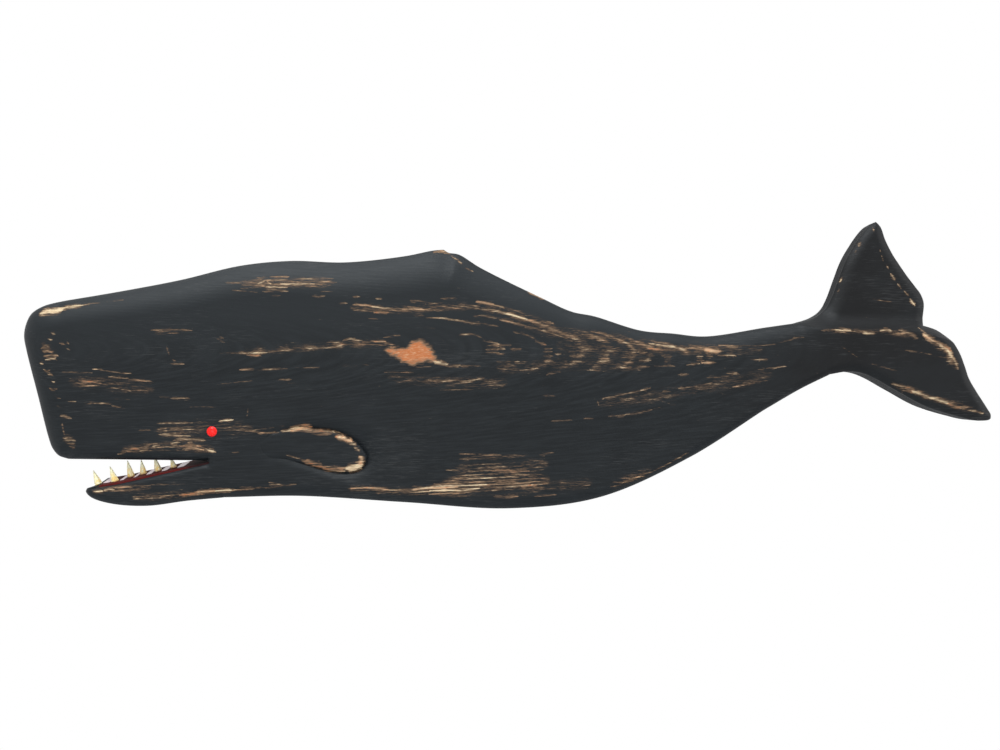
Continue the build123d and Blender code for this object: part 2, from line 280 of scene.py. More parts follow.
# Outline of the fin about its middle, as shares of its own length and height
FIN_OUTLINE_SHARES = (
    (-0.50, 0.15), (-0.30, 0.46), (0.00, 0.50), (0.25, 0.38), (0.43, 0.12), (0.50, -0.20),
    (0.42, -0.44), (0.25, -0.50), (0.02, -0.38), (-0.25, -0.18), (-0.44, -0.10),
)
FIN_PLACE_SHARES = (0.302, 0.204)

# Streaks of paint worn through along the grain. Each group has its half width in the
# photograph's pixels, its strength and how orange its wood is. Then come its streaks, each
# with the column and the row of every pixel that it passes through.
HAIR = 0.92
THIN = 1.45
MIDDLING = 2.1
BROAD = 3.2
FAINT = 0.4
BROKEN = 0.57
CLEAR = 0.77
FULL = 1.05
PALE = 0.0
TAN = 0.5
ORANGE = 1.0
STREAKS = {
    (HAIR, BROKEN, ORANGE): (
        (60.6, 343.6, 64.4, 344.4), (49, 388, 52, 389.6, 56, 389.2),
    ),
    (HAIR, BROKEN, PALE): (
        (604, 398.2, 624, 394.2, 640, 391), (883.8, 248.7, 884.6, 251), (877.3, 225.5, 878, 230.1),
        (908.4, 290.4, 913, 295.4), (890.6, 264, 892.2, 267.6), (885.4, 254.5, 887, 259.8),
        (254, 488.2, 272, 487, 296, 484.2), (84, 402.8, 98, 403.4, 111, 404.2), (67, 400.6, 76, 401.6),
        (98, 385.6, 114, 387.8, 130, 390.6), (67, 348.6, 69, 349.6), (43, 369.4, 47, 371.4, 50, 369.8),
        (56, 397, 60.4, 398.6), (66, 442.8, 74, 443.4), (103, 370.4, 118, 372.4, 130, 373.4),
        (112, 406, 124, 408.2), (170, 363.4, 184, 364), (166.6, 347, 169, 354.4),
        (220, 337, 222.6, 337.8), (268, 352, 279, 350.6, 290, 350.4), (288, 350, 304, 348.8, 321, 348),
        (255, 369.4, 270, 369.2, 287, 368.6), (279, 379.8, 291, 379.6), (171, 398.2, 190, 398.6),
        (157, 423, 192, 423), (172, 442.8, 180, 442.4), (240, 281.2, 252, 281.2, 262, 280.8),
        (225, 282.4, 240, 282.8), (288, 279, 310, 278.6, 333, 278.4),
        (315, 283.8, 326, 282.8, 336, 282.2), (263, 291.3, 288, 291.2),
        (313, 296, 319, 296.6, 325, 295.8), (354, 310.6, 366, 310.8), (427, 302.2, 440, 304, 454, 305.6),
        (353, 296.8, 359, 296.8), (376, 298.6, 382, 298.8), (339, 303.6, 347, 303.2),
        (473, 316, 484, 316.2, 496, 318.2), (424, 317.8, 442, 318, 449, 319), (482, 323.8, 498, 326.2),
        (556, 334.8, 566, 338.4, 575, 343), (514, 332, 526, 334.6, 536, 339.6),
        (459, 335.2, 472, 334.2, 482, 338), (655, 366, 674, 366.2), (720, 347.6, 728, 347.6, 738, 347),
        (793, 338, 804, 337.6), (718, 355.4, 727, 355.2), (751, 359.4, 758, 359.6),
        (708, 377.6, 721, 377), (767, 368.4, 776, 368), (679, 374.6, 688, 374.4), (698, 386, 712, 382.6),
        (625, 414.6, 640, 412.4, 652, 409.8), (584, 418.6, 593, 418.4), (326, 343, 344, 342),
        (384, 337.4, 391, 336.2, 400, 335.6), (416, 367, 431, 366.4), (460, 366, 480, 366),
        (497, 362.4, 510, 361.8), (520, 370.4, 538, 368), (547, 374.8, 561, 372),
        (591, 370.2, 600, 369.8), (460, 459, 490, 457.6, 528, 455), (540, 455, 554, 452.4),
        (456, 475.4, 490, 474.6, 528, 474.2), (446, 470, 470, 471, 488, 470.6), (412, 487, 430, 487.4),
        (269, 482.4, 287, 486), (650, 473, 668, 464, 690, 452), (134, 488.6, 147, 487.4),
        (134, 499, 142, 497.6, 152, 497.8), (304, 460.4, 295, 457.6, 287, 455.4), (822, 330.4, 836, 330),
        (851, 331, 864, 333), (843.9, 287.1, 841.9, 292.2), (465, 267, 473, 271),
    ),
    (HAIR, BROKEN, TAN): (
        (126, 379, 140, 380.4, 153, 382.2), (62, 424, 64, 434), (151, 330.4, 170, 329.4, 192, 330.8),
        (140, 447.4, 150, 445.4), (288, 281.4, 314, 281.2), (287, 286.8, 308, 286.2, 328, 286.2),
        (424, 310, 432, 310.6), (503, 308.4, 518, 311.6, 527, 316), (606, 337, 620, 342),
        (720, 345.2, 738, 345.6, 753, 346), (721, 376.6, 728, 376), (733, 386.8, 746, 384.6, 766, 380.6),
        (384, 343, 395, 345.2, 402, 347), (459, 454, 500, 455), (535, 496.6, 556, 494.8),
        (350, 486.6, 368, 486.4),
    ),
    (HAIR, CLEAR, ORANGE): (
        (69, 446.4, 74, 448), (248, 355.2, 260, 355.6), (535, 340.6, 540, 343, 546, 345),
        (511, 349.4, 521, 349), (697, 360.4, 703, 360.4), (488, 470.4, 508, 470.6, 529, 471),
        (182, 496.6, 204, 494.4),
    ),
    (HAIR, CLEAR, PALE): (
        (640, 391, 649, 388.4), (846.4, 276.6, 844.4, 281), (901.5, 283, 904.6, 287),
        (78, 305.2, 89, 303.2), (263, 280, 276, 279.2, 288, 279.2), (240, 353.4, 249, 353, 256, 352.8),
        (110, 376.8, 121, 377.8, 130, 379.4), (93, 369.2, 103, 370.2), (52, 333.2, 54.6, 334),
        (49, 339, 52, 339.8), (46, 359.6, 51, 358.4, 56, 359.6), (67.2, 341.8, 68.8, 344),
        (48, 374.4, 53, 375.6), (51.6, 381, 55, 382.8), (64, 438.4, 69, 440, 75, 440.6),
        (166, 429.4, 180, 429, 193, 429.8), (160, 434.6, 176, 435.2, 190, 436),
        (174, 440.2, 190, 439.6, 205, 440.4), (117, 454, 126, 452.6), (164, 447.2, 176, 445),
        (172, 443.2, 178, 442), (197, 446, 204, 448, 209, 450), (256, 277.8, 266, 277.6),
        (384, 308, 395, 308.4, 404, 309), (410, 300.6, 418, 301, 427, 302.2),
        (454, 305.8, 466, 306.8, 479, 308.4), (442, 298.2, 457, 298.6), (492, 304.4, 504, 307.6),
        (448, 319.2, 464, 321), (464, 321.4, 474, 323.2, 482, 323.6), (484, 341, 490, 342.2, 499, 344),
        (687, 365, 694, 364.2, 700, 363.6), (758, 359.6, 768, 359.4), (727, 373.4, 738, 373.6),
        (663, 391.8, 670, 391.4), (679, 388.6, 690, 387, 698, 386), (609, 416.2, 625, 415.8),
        (597.6, 401.6, 598.6, 404.4), (321, 348, 333, 347, 343, 344.8),
        (343, 340.4, 350, 339.2, 361, 340.4), (446, 366.4, 460, 365.6),
        (460, 381.4, 472, 380.4, 483, 378.4), (487, 385.4, 505, 385), (454, 478, 486, 478, 519, 477),
        (388, 490, 408, 491, 430, 491.4), (921, 328, 926, 333, 929, 338),
        (960, 408.4, 972, 411, 984, 413.4), (451, 254.6, 462, 263),
    ),
    (HAIR, CLEAR, TAN): (
        (434, 484, 446, 483.2, 458, 483), (246, 431.4, 256, 431.8, 268, 433.6),
        (80, 384.6, 88, 385.4, 97, 385.8), (173.4, 360, 175.6, 361), (240, 369.6, 255, 369.4),
        (270, 276.4, 288, 276.4), (540, 321.6, 552, 323), (500, 320, 514, 322.6, 526, 326),
        (494, 344.8, 504, 345.2, 511, 345), (591, 331.4, 600, 333.4, 608, 335.8), (663, 356, 672, 356.4),
        (703, 362.8, 715, 362.6), (430, 494, 448, 493.8, 465, 493.4), (494, 496.6, 518, 496.4),
        (622, 483, 636, 477.4, 651, 472), (160, 497, 166, 495.8, 174, 495.6),
        (259, 433.6, 268, 433.2, 278, 432.4),
    ),
    (HAIR, FAINT, ORANGE): (
        (385, 372, 418, 373), (154, 334, 180, 333.2), (368, 318.6, 377, 319),
    ),
    (HAIR, FAINT, PALE): (
        (440, 390, 473, 389.5), (893, 348.6, 918, 352, 944, 357.4), (861, 248.1, 859.2, 251.4),
        (217, 384.4, 236, 382.2, 252, 380.8), (62, 372, 92, 372.8), (57, 406, 62, 407.6),
        (115, 399, 130, 399.2), (216, 338, 224, 342), (247, 350.4, 266, 350.2), (304, 346, 315, 346.4),
        (288, 383, 296, 383), (159, 396.4, 171, 398), (192, 424.4, 206, 422.6), (139, 430.4, 151, 430.4),
        (236, 433, 262, 429, 284, 426), (248, 409, 247, 416), (233, 452.6, 239, 452.2),
        (242, 284.6, 256, 284.4), (240, 288.4, 248, 288.6), (320, 291.4, 333, 291.2),
        (272, 295.8, 280, 295.6), (232, 290, 262, 293), (388, 313, 400, 313.6), (414, 315.4, 424, 315.6),
        (416, 326, 434, 328.4), (531, 323.4, 549, 328), (752, 346, 764, 345.4, 778, 343.6),
        (778, 343, 793, 339.4), (775, 367.4, 786, 366.4), (652, 409, 686, 403), (552, 421, 572, 420),
        (375, 348.6, 384, 348.4), (543, 395.5, 555, 396), (296, 367.6, 320, 367.6), (342, 366, 368, 365),
        (470, 464, 530, 464), (150, 484.5, 186, 484), (841, 346, 857, 357), (872, 364, 900, 372),
        (876, 298.4, 896, 301.4),
    ),
    (HAIR, FAINT, TAN): (
        (544, 489, 566, 488, 590, 485), (388, 380.6, 430, 380.5, 460, 381),
        (88, 303.4, 104, 301.4, 121, 299.8), (220, 353, 240, 353), (190, 407, 216, 407),
    ),
    (HAIR, FULL, PALE): (
        (281, 283.8, 298, 283.6, 314, 284), (248, 352.8, 267, 352.6), (219, 421.4, 233, 419.8),
        (153, 446.2, 159, 445.2), (726, 355.2, 735, 355.6), (697, 356.4, 703, 356.4),
    ),
    (HAIR, FULL, TAN): (
        (184, 448.6, 194, 448, 203, 449.8), (638, 352, 646, 352.4), (374, 341.6, 385, 341.6),
    ),
    (THIN, BROKEN, ORANGE): (
        (340, 344.6, 360, 344.4, 386, 344.8),
    ),
    (THIN, BROKEN, PALE): (
        (569, 333.6, 580, 333.4, 588, 335.8), (759, 369.4, 765, 369.4),
    ),
    (THIN, BROKEN, TAN): (
        (169, 435, 178, 435.4), (524, 325.6, 534, 327.8, 543, 331), (636, 344.4, 650, 345.6),
        (446, 481.6, 480, 481.8, 515, 482.4), (614, 486.4, 632, 480, 645, 474.6), (316, 433, 329, 434),
    ),
    (THIN, CLEAR, ORANGE): (
        (80, 381, 90, 382, 101, 383.4), (126, 450.8, 132, 449.4, 138, 448.8),
        (180, 446, 190, 445, 201, 446.4), (375, 312.4, 381, 311.8, 388, 312.6),
        (648, 348.4, 660, 349.6, 675, 351), (364, 341.6, 376, 341.4, 386, 342),
        (320, 466.4, 312, 464, 303, 461.6),
    ),
    (THIN, CLEAR, PALE): (
        (894.8, 273, 899, 279.4), (42, 347.6, 45.5, 345.8, 49, 347), (39.4, 363, 42.4, 364),
        (60, 416, 65, 416.4, 70.6, 418), (159, 429.6, 167, 429.4), (140, 451, 148, 449),
        (258, 283.4, 264, 281), (266, 287.2, 277, 287.2, 287, 287), (479, 309.4, 497, 312, 508, 314.4),
        (542, 330.4, 549, 332.4, 556, 334.6), (618, 341.4, 626, 342.6, 634, 343.8),
        (664, 346.4, 676, 348, 687, 349.6), (706, 356.2, 711.6, 356.6), (492, 490.4, 501, 488.8),
        (532, 484.4, 542, 484.6), (281, 431, 290, 430.4), (326, 431.4, 333, 431.6, 339, 433),
        (354.6, 448, 358, 449.6, 360, 451.6), (345, 471, 336, 471, 327, 470), (863, 333.2, 874, 333),
        (900, 330, 908, 332.4, 916, 338), (864.6, 241.2, 863, 244.4),
    ),
    (THIN, CLEAR, TAN): (
        (45, 356, 51, 354.8, 57.5, 355.4), (528, 290.8, 536, 294.8, 544, 298.8),
        (43, 351.4, 48, 350.8, 53, 353.4), (354, 304.6, 366, 305, 376, 306.4),
        (686, 348.2, 695, 348.4, 704, 350.4), (114, 488, 124, 487.2, 133, 487.8),
        (230, 490.4, 242, 489, 254, 488.4), (359, 456, 361, 459, 363, 463),
        (346, 468, 337, 467.4, 327, 466.8),
    ),
    (THIN, FULL, ORANGE): (
        (522, 486.6, 530, 485.6, 537, 485), (180, 495.4, 190, 494.2, 200, 492.4),
        (300, 427, 306, 425.4, 312, 427.6),
    ),
    (THIN, FULL, PALE): (
        (420, 488.8, 436, 486.4, 452, 485.4, 470, 485.2, 486, 484.6), (914.6, 298.4, 918.8, 304.6),
        (208, 450, 214.6, 451.6), (506, 313.8, 516, 316.2, 527, 319.2),
        (650, 343.6, 662, 345.2, 675, 347), (430, 490.6, 446, 490.4, 460, 490.4, 479, 488.4),
        (95.6, 491.6, 102.4, 491), (104, 490, 109, 489.2, 114, 489.6), (338, 436.6, 346, 438),
        (835, 330, 843, 329.8, 851, 330.6), (880, 331, 886, 329.6, 892, 330.4),
    ),
    (THIN, FULL, TAN): (
        (412, 490, 426, 488.6, 440, 487.8, 458, 487.2), (267, 281.6, 270, 283.4),
        (402, 309.2, 414, 309.2, 424, 310), (476, 302, 484, 303, 493, 304.2),
        (352, 488.4, 370, 488, 388, 489.6),
    ),
    (MIDDLING, BROKEN, PALE): (
        (893, 383.6, 906, 388.4),
    ),
    (MIDDLING, CLEAR, ORANGE): (
        (938, 342, 946, 346.4, 951, 351), (336, 437, 344, 438.4, 352, 441),
        (946, 403, 954, 406, 961, 408.4),
    ),
    (MIDDLING, CLEAR, PALE): (
        (372, 306.4, 378, 307.2, 384, 308), (505, 487.6, 518, 485.8, 528, 485.2),
        (349, 442.4, 353, 443.6, 356, 445.4), (950, 354, 955, 361, 958, 369),
    ),
    (MIDDLING, CLEAR, TAN): (
        (267, 280.4, 272, 281.4), (526, 319.4, 534, 321, 541, 322.6), (304, 430.4, 312, 431, 320, 432.6),
        (903, 333, 911, 334.4, 917, 338), (433, 251.4, 441, 249.6, 449, 252.6),
    ),
    (MIDDLING, FULL, PALE): (
        (912, 391, 930, 397.4, 948, 403.2), (58, 309, 64, 307, 71, 306, 80, 305),
        (214, 491, 222, 490.6, 231, 490.4), (288, 430.2, 298, 427.8, 308, 429.6),
    ),
    (MIDDLING, FULL, TAN): (
        (923, 334, 932, 340, 942, 345), (196, 493.2, 206, 491.8, 216, 490.8),
    ),
    (BROAD, CLEAR, ORANGE): (
        (308, 429.6, 318, 431.6, 331, 432.4), (305, 461.6, 314, 464.4, 322, 466.4),
        (322, 467.4, 332, 469.6, 343, 470.4), (906, 388, 914, 391),
    ),
    (BROAD, FULL, PALE): (
        (940, 345, 947, 350, 952, 357),
    ),
    (BROAD, FULL, TAN): (
        (291, 430, 300, 428.4, 311, 430), (337, 436.4, 344, 438.4, 351, 441),
        (361, 457, 361.6, 461, 359, 465), (705, 350.2, 713, 350, 720, 351.2),
    ),
    (4.2, 1.25, PALE): (
        (361.5, 465.4, 355, 467.8, 347, 468.8),
    ),
    (3.6, 1.3, PALE): (
        (38, 313.6, 45, 311.2, 54, 310.8, 60, 308.6),
    ),
}

# The bare patch in the middle of the flank
PATCH_OUTLINE = (
    (385, 349.4), (391, 348.2), (396, 349.2), (401, 347.4), (406, 348), (410, 346.2),
    (408.6, 344.8), (413, 343.6), (411.4, 342.2), (416, 341.6), (420, 339.8), (424, 341.4),
    (423, 343), (428, 344.2), (427, 345.8), (432, 347), (430.4, 349.2), (434, 352), (432.6, 354.6),
    (436, 357), (434, 359), (437, 360.6), (431, 361.6), (427, 360.4), (423, 362.6), (418, 363),
    (414, 365.4), (409, 364.4), (406, 361.6), (401, 361), (402.6, 359.4), (396, 357.8),
    (398, 356.2), (391, 354.6), (393, 352.8), (387, 351.6),
)
PATCH_TAIL = (2.4, 1.0, PALE, (434, 361.4), (440, 362.8), (447, 364.4))
PATCH_STRENGTH = 1.5
PATCH_FEATHER = 4.0

# Short level dashes of wear where the rings run out at the tops of their arches: the
# photograph's columns that a stack of dashes spans, and the row of each dash
DASH_STACKS = (
    ((497, 505), (349, 354, 362)),
    ((486, 499), (346.4, 349.6, 352.6)),
    ((516, 518.6), (361.6,)),
    ((544, 552), (348.6, 351.6, 356, 361)),
    ((545, 551), (361.4,)),
    ((556, 559.6), (354, 364.6)),
    ((563, 566), (361,)),
    ((570, 583), (351.6, 356, 361.6)),
    ((573, 579), (339, 344, 347.4)),
    ((600, 609), (355, 358.4, 361)),
    ((598, 604), (340.6, 345.6, 350)),
    ((623, 633), (348.6, 353, 357.6, 362.4)),
    ((622, 631), (367.4, 368.2)),
    ((639, 650), (360.4, 366.8)),
    ((664, 671), (359.6, 362)),
)

# How a streak fades: its reach in half widths, the share of its length over which each
# end tapers, and its width at the very end
STREAK_REACH = 2.2
TAPER_SHARE = 0.125
TAPERED_WIDTH = 0.55

# Depths between which the wear of the front fades out down the sides
WORN_DEPTHS = (BOARD_THICKNESS - 20, BOARD_THICKNESS - 15)

# How far from the edge the paint lapped over the back thins out
LAP_SPAN = (2, 14)

# Fields where the paint is rubbed thin in fine dashes: half width, strength, how orange
# the wood is, and the pixels along the middle
FIELDS = (
    (12.0, 0.44, TAN, (448, 484), (495, 484), (545, 482)),
    (9.0, 0.34, PALE, (458, 470), (505, 468), (545, 464)),
    (8.0, 0.27, PALE, (550, 486), (590, 482)),
    (6.0, 0.36, TAN, (612, 486), (650, 471)),
    (9.0, 0.36, TAN, (490, 310), (530, 322), (560, 334)),
    (10.0, 0.34, PALE, (560, 345), (600, 349), (650, 355)),
    (9.0, 0.3, PALE, (500, 368), (560, 364), (640, 366)),
    (8.0, 0.42, TAN, (560, 333), (600, 338), (660, 347), (722, 350)),
    (7.0, 0.3, PALE, (715, 350), (760, 350)),
    (10.0, 0.27, PALE, (600, 404), (690, 390), (770, 374)),
    (9.0, 0.3, TAN, (72, 382), (110, 384), (150, 390)),
    (10.0, 0.31, PALE, (158, 432), (200, 428), (250, 428)),
    (6.0, 0.36, TAN, (124, 450), (160, 446.5), (212, 449)),
    (6.0, 0.3, PALE, (240, 352), (320, 347), (390, 343)),
    (8.0, 0.3, PALE, (390, 378), (450, 382), (505, 382)),
    (6.0, 0.42, TAN, (244, 283), (280, 283), (330, 283)),
    (5.0, 0.38, TAN, (352, 308), (410, 309), (478, 306)),
    (6.0, 0.42, PALE, (44, 345), (48, 352), (50, 357)),
    (6.0, 0.36, PALE, (66, 436), (70, 441), (74, 446)),
    (5.0, 0.38, TAN, (94, 491), (130, 488.5), (150, 487)),
    (5.0, 0.36, PALE, (134, 497.5), (190, 494.5)),
    (5.0, 0.36, TAN, (350, 489), (420, 492), (470, 494)),
    (4.0, 0.34, TAN, (828, 331), (880, 332), (915, 336)),
    (4.0, 0.44, PALE, (924, 333), (942, 350), (957, 368)),
    (4.0, 0.44, TAN, (894, 384), (930, 397), (975, 411)),
)


def on_board(shares):
    """The place on the board at these shares of its length and height."""
    along_share, up_share = shares
    return (along_share - 0.5) * BODY_LENGTH, (up_share - 0.5) * BODY_HEIGHT


CAMERA_X, CAMERA_Z = on_board((
    (IMAGE_WIDTH / 2 - SNOUT_PIXEL) / LENGTH_PIXELS,
    (BELLY_PIXEL - IMAGE_HEIGHT / 2) / HEIGHT_PIXELS,
))
SILHOUETTE_DISTANCE = CAMERA_TO_FACE + BOARD_THICKNESS - SILHOUETTE_DEPTH
FOCAL_PIXELS = SILHOUETTE_DISTANCE * LENGTH_PIXELS / BODY_LENGTH
FACE_SCALE = CAMERA_TO_FACE / FOCAL_PIXELS


def on_face(pixel):
    """The place on the front face that a pixel of the photograph shows."""
    x_pixel, y_pixel = pixel
    x = CAMERA_X + (x_pixel - IMAGE_WIDTH / 2) * FACE_SCALE
    z = CAMERA_Z - (y_pixel - IMAGE_HEIGHT / 2) * FACE_SCALE
    return x, z


def seen_at_depths(line, depths):
    """A line of the outline, moved along the camera's rays to evenly spaced depths."""
    camera = np.array((CAMERA_X, CAMERA_Z))
    places = np.linspace(0, len(depths) - 1, len(line))
    depths_along = np.interp(places, range(len(depths)), depths)
    distances = CAMERA_TO_FACE + BOARD_THICKNESS - depths_along
    return camera + (line - camera) * (distances / SILHOUETTE_DISTANCE)[:, None]


# Lines

def curve_between(knots, a, b, c, d, steps):
    """Points on the smooth curve from b to c, with a before it and d after it."""
    t = np.linspace(0, 1, steps, endpoint=False)[:, None]
    t = knots[1] + t * (knots[2] - knots[1])

    def blend(first, second, start, end):
        return first + (second - first) * (t - knots[start]) / (knots[end] - knots[start])

    ab, bc, cd = blend(a, b, 0, 1), blend(b, c, 1, 2), blend(c, d, 2, 3)
    return blend(blend(ab, bc, 0, 2), blend(bc, cd, 1, 3), 1, 2)


def smooth_line(points, spacing):
    """Points at about this spacing along a smooth curve through the given points."""
    points = np.array(points, float)
    before = 2 * points[0] - points[1]
    after = 2 * points[-1] - points[-2]
    padded = np.vstack([before, points, after])
    found = []
    for a, b, c, d in zip(padded[:-3], padded[1:-2], padded[2:-1], padded[3:]):
        steps = int(math.ceil(np.linalg.norm(c - b) / spacing * CURVE_FINENESS))
        knots = [0.0]
        for start, end in ((a, b), (b, c), (c, d)):
            knots.append(knots[-1] + math.sqrt(np.linalg.norm(end - start)))
        found.append(curve_between(knots, a, b, c, d, max(CURVE_FINENESS, steps)))
    found.append(points[-1:])
    return even_line(np.vstack(found), spacing)


def even_line(points, spacing):
    """The same line with evenly spaced points."""
    points = np.array(points, float)
    lengths = np.linalg.norm(np.diff(points, axis=0), axis=1)
    travelled = np.concatenate([[0], np.cumsum(lengths)])
    count = max(2, int(round(travelled[-1] / spacing)) + 1)
    places = np.linspace(0, travelled[-1], count)
    return np.stack([np.interp(places, travelled, points[:, axis]) for axis in (0, 1)], axis=1)


def segment_distances(points, starts, ends):
    """The distance of each point from its own segment."""
    along = ends - starts
    lengths = np.maximum((along ** 2).sum(1), TINY ** 2)
    share = np.clip(((points - starts) * along).sum(1) / lengths, 0, 1)
    return np.linalg.norm(points - starts - along * share[:, None], axis=1)


def nearest_on(line, points, reach=math.inf):
    """The distance of each point from a line, and the index of the line's nearest point.
    Points that are further away than the reach keep that distance and the index 0."""
    tree = KDTree(len(line))
    for index, (x, z) in enumerate(line):
        tree.insert((x, z, 0), index)
    tree.balance()
    distances = np.full(len(points), reach, float)
    nearest = np.zeros(len(points), int)
    close = inside_box(points, line, reach)
    nearest[close] = [tree.find((x, z, 0))[1] for x, z in points[close]]
    last = len(line) - 1
    for shift in (-1, 0):
        first = np.clip(nearest[close] + shift, 0, last - 1)
        found = segment_distances(points[close], line[first], line[first + 1])
        distances[close] = np.minimum(distances[close], found)
    return distances, nearest


def inside_box(points, line, reach):
    """The numbers of the points within a line's box, made larger by the reach."""
    low, high = line.min(0) - reach, line.max(0) + reach
    return np.flatnonzero(((points >= low) & (points <= high)).all(1))


def inside(points, loop):
    """Which points lie inside a closed loop."""
    x, z = points[:, 0], points[:, 1]
    within = np.zeros(len(points), bool)
    for (x1, z1), (x2, z2) in zip(loop, np.roll(loop, -1, axis=0)):
        crosses = (z1 > z) != (z2 > z)
        height = z2 - z1
        if height == 0:
            continue
        within ^= crosses & (x < (x2 - x1) * (z - z1) / height + x1)
    return within


def smooth_step(value, low, high):
    """From 0 at the low value to 1 at the high one, along a smooth curve."""
    share = np.clip((value - low) / (high - low), 0, 1)
    return share * share * (3 - 2 * share)


def offset_loop(loop, inset):
    """A clockwise loop moved inwards, with every point kept."""
    step = np.roll(loop, -1, axis=0) - np.roll(loop, 1, axis=0)
    step /= np.linalg.norm(step, axis=1)[:, None]
    inward = np.stack([step[:, 1], -step[:, 0]], axis=1)
    return loop + inward * inset


# The outline and its edges

def outline_stretches():
    """Each stretch of the outline as evenly spaced points."""
    lines = {}
    for name, (_, _, shares_list) in STRETCHES.items():
        points = [on_board(shares) for shares in shares_list]
        if name in MOUTH_STRETCHES:
            lines[name] = even_line(points, OUTLINE_SPACING)
        else:
            lines[name] = smooth_line(points, OUTLINE_SPACING)
        if name in SEEN_DEPTHS:
            lines[name] = seen_at_depths(lines[name], SEEN_DEPTHS[name])
    return lines


LINES = outline_stretches()


def edge_drop(points):
    """How far the rounded edges lower the front at each point."""
    total = np.zeros(len(points))
    for name, line in LINES.items():
        (start_width, start_drop), (end_width, end_drop), _ = STRETCHES[name]
        distance, nearest = nearest_on(line, points, max(start_width, end_width))
        share = nearest / (len(line) - 1)
        if name == "back":
            # The back's rounding narrows fastest just behind the hump
            share = np.sqrt(share)
        width = start_width + (end_width - start_width) * share
        drop = start_drop + (end_drop - start_drop) * share
        rise = np.clip(1 - distance / width, 0, 1)
        bevel = rise ** BEVEL_POWER
        roll = 1 - np.sqrt(np.maximum(1 - rise ** 2, 0))
        total += (drop * (BEVEL_BLEND * bevel + (1 - BEVEL_BLEND) * roll)) ** EDGE_SHARPNESS
    return total ** (1 / EDGE_SHARPNESS)


def waves(points):
    """The unevenness of the hand-shaped face."""
    heights = np.zeros(len(points))
    for number, (height, length) in enumerate(WAVES):
        heights += height * np.array([
            noise.noise((x / length, WAVE_SHIFT * number, WAVE_NARROWING * z / length))
            for x, z in points
        ])
    return heights


def ridge_line():
    """The ridge between the two flukes."""
    return smooth_line([on_board(shares) for shares in RIDGE_SHARES], OUTLINE_SPACING)


def fluke_setback(points):
    """How far the upper fluke's face is cut back: nothing below the ridge."""
    line = ridge_line()
    distance, nearest = nearest_on(line, points)
    above = points[:, 1] > line[nearest][:, 1]
    start_x = line[0][0]
    reach = smooth_step(points[:, 0], start_x, start_x + RIDGE_START_LENGTH)
    share = np.clip(distance / RIDGE_SLOPE_WIDTH, 0, 1)
    slope = 1 - (1 - share) ** RIDGE_SLOPE_POWER
    return np.where(above, FLUKE_SETBACK * slope * reach, 0)


def fin_line():
    """The closed outline of the fin."""
    fin_x, fin_z = on_board(FIN_PLACE_SHARES)
    points = [(fin_x + x * FIN_LENGTH, fin_z + z * FIN_HEIGHT) for x, z in FIN_OUTLINE_SHARES]
    line = smooth_line(points[-2:] + points + points[:2], OUTLINE_SPACING)
    distances = np.linalg.norm(line - points[0], axis=1)
    half = len(line) // 2
    first = int(np.argmin(distances[:half]))
    last = first + half + int(np.argmin(distances[first + half:]))
    return line[first:last + 1]


def fin_relief(points):
    """How far the front is lowered around the fin and along the fin's own edge."""
    line = fin_line()
    distance, _ = nearest_on(line, points)
    fin_x, fin_z = on_board(FIN_PLACE_SHARES)
    heading = np.arctan2((points[:, 1] - fin_z) / FIN_HEIGHT, (points[:, 0] - fin_x) / FIN_LENGTH)
    towards = (0.5 + 0.5 * np.cos(heading - math.radians(HOLLOW_HEADING))) ** HOLLOW_FOCUS
    depth = HOLLOW_SHALLOW + (HOLLOW_DEEP - HOLLOW_SHALLOW) * towards
    reach = HOLLOW_REACH_SHORT + (HOLLOW_REACH_LONG - HOLLOW_REACH_SHORT) * towards ** 2
    wall = smooth_step(distance, 0, FIN_WALL_WIDTH)
    fade = (1 - np.clip((distance - FIN_WALL_WIDTH) / reach, 0, 1)) ** HOLLOW_FADE_POWER
    outside_drop = np.maximum(depth * wall * fade, FIN_ARRIS_DROP * (1 - wall) * fade)
    arris_drop = FIN_ARRIS_DROP * np.clip(1 - distance / FIN_ARRIS_WIDTH, 0, 1) ** 2
    root_start, root_end = [fin_x + FIN_LENGTH * share for share in FIN_ROOT_SHARES]
    root = smooth_step(points[:, 0], root_start, root_end)
    relief = np.where(inside(points, line), arris_drop, outside_drop)
    return relief * (FIN_ROOT_RELIEF + (1 - FIN_ROOT_RELIEF) * root)


def front_depth(points):
    """The depth of the carved front at each point."""
    drop = edge_drop(points) + fluke_setback(points) + fin_relief(points)
    calm_edge, wavy = WAVE_FADE
    inner = smooth_step(edge_distance(points, wavy), calm_edge, wavy)
    return BOARD_THICKNESS - drop + np.minimum(waves(points), HIGHEST_WAVE) * inner


def edge_distance(points, reach):
    """The distance of each point from the outline, no more than the reach."""
    found = [nearest_on(line, points, reach)[0] for line in LINES.values()]
    return np.min(found, axis=0)


# Wear

def wear_lines():
    """Every worn streak, patch and dash, as a line on the face with its half width, its
    strength and how orange its wood is."""
    streaks = [
        (*style, *zip(numbers[::2], numbers[1::2]))
        for style, group in STREAKS.items() for numbers in group
    ]
    for half_width, strength, tone, *pixels in (*streaks, PATCH_TAIL, *FIELDS):
        line = smooth_line([on_face(pixel) for pixel in pixels], WEAR_SPACING)
        yield line, half_width * FACE_SCALE, strength, tone
    for (start, end), rows in DASH_STACKS:
        for number, row in enumerate(rows):
            line = even_line([on_face((start, row)), on_face((end, row))], WEAR_SPACING)
            yield line, HAIR * FACE_SCALE, BROKEN, TAN * (number % 2)


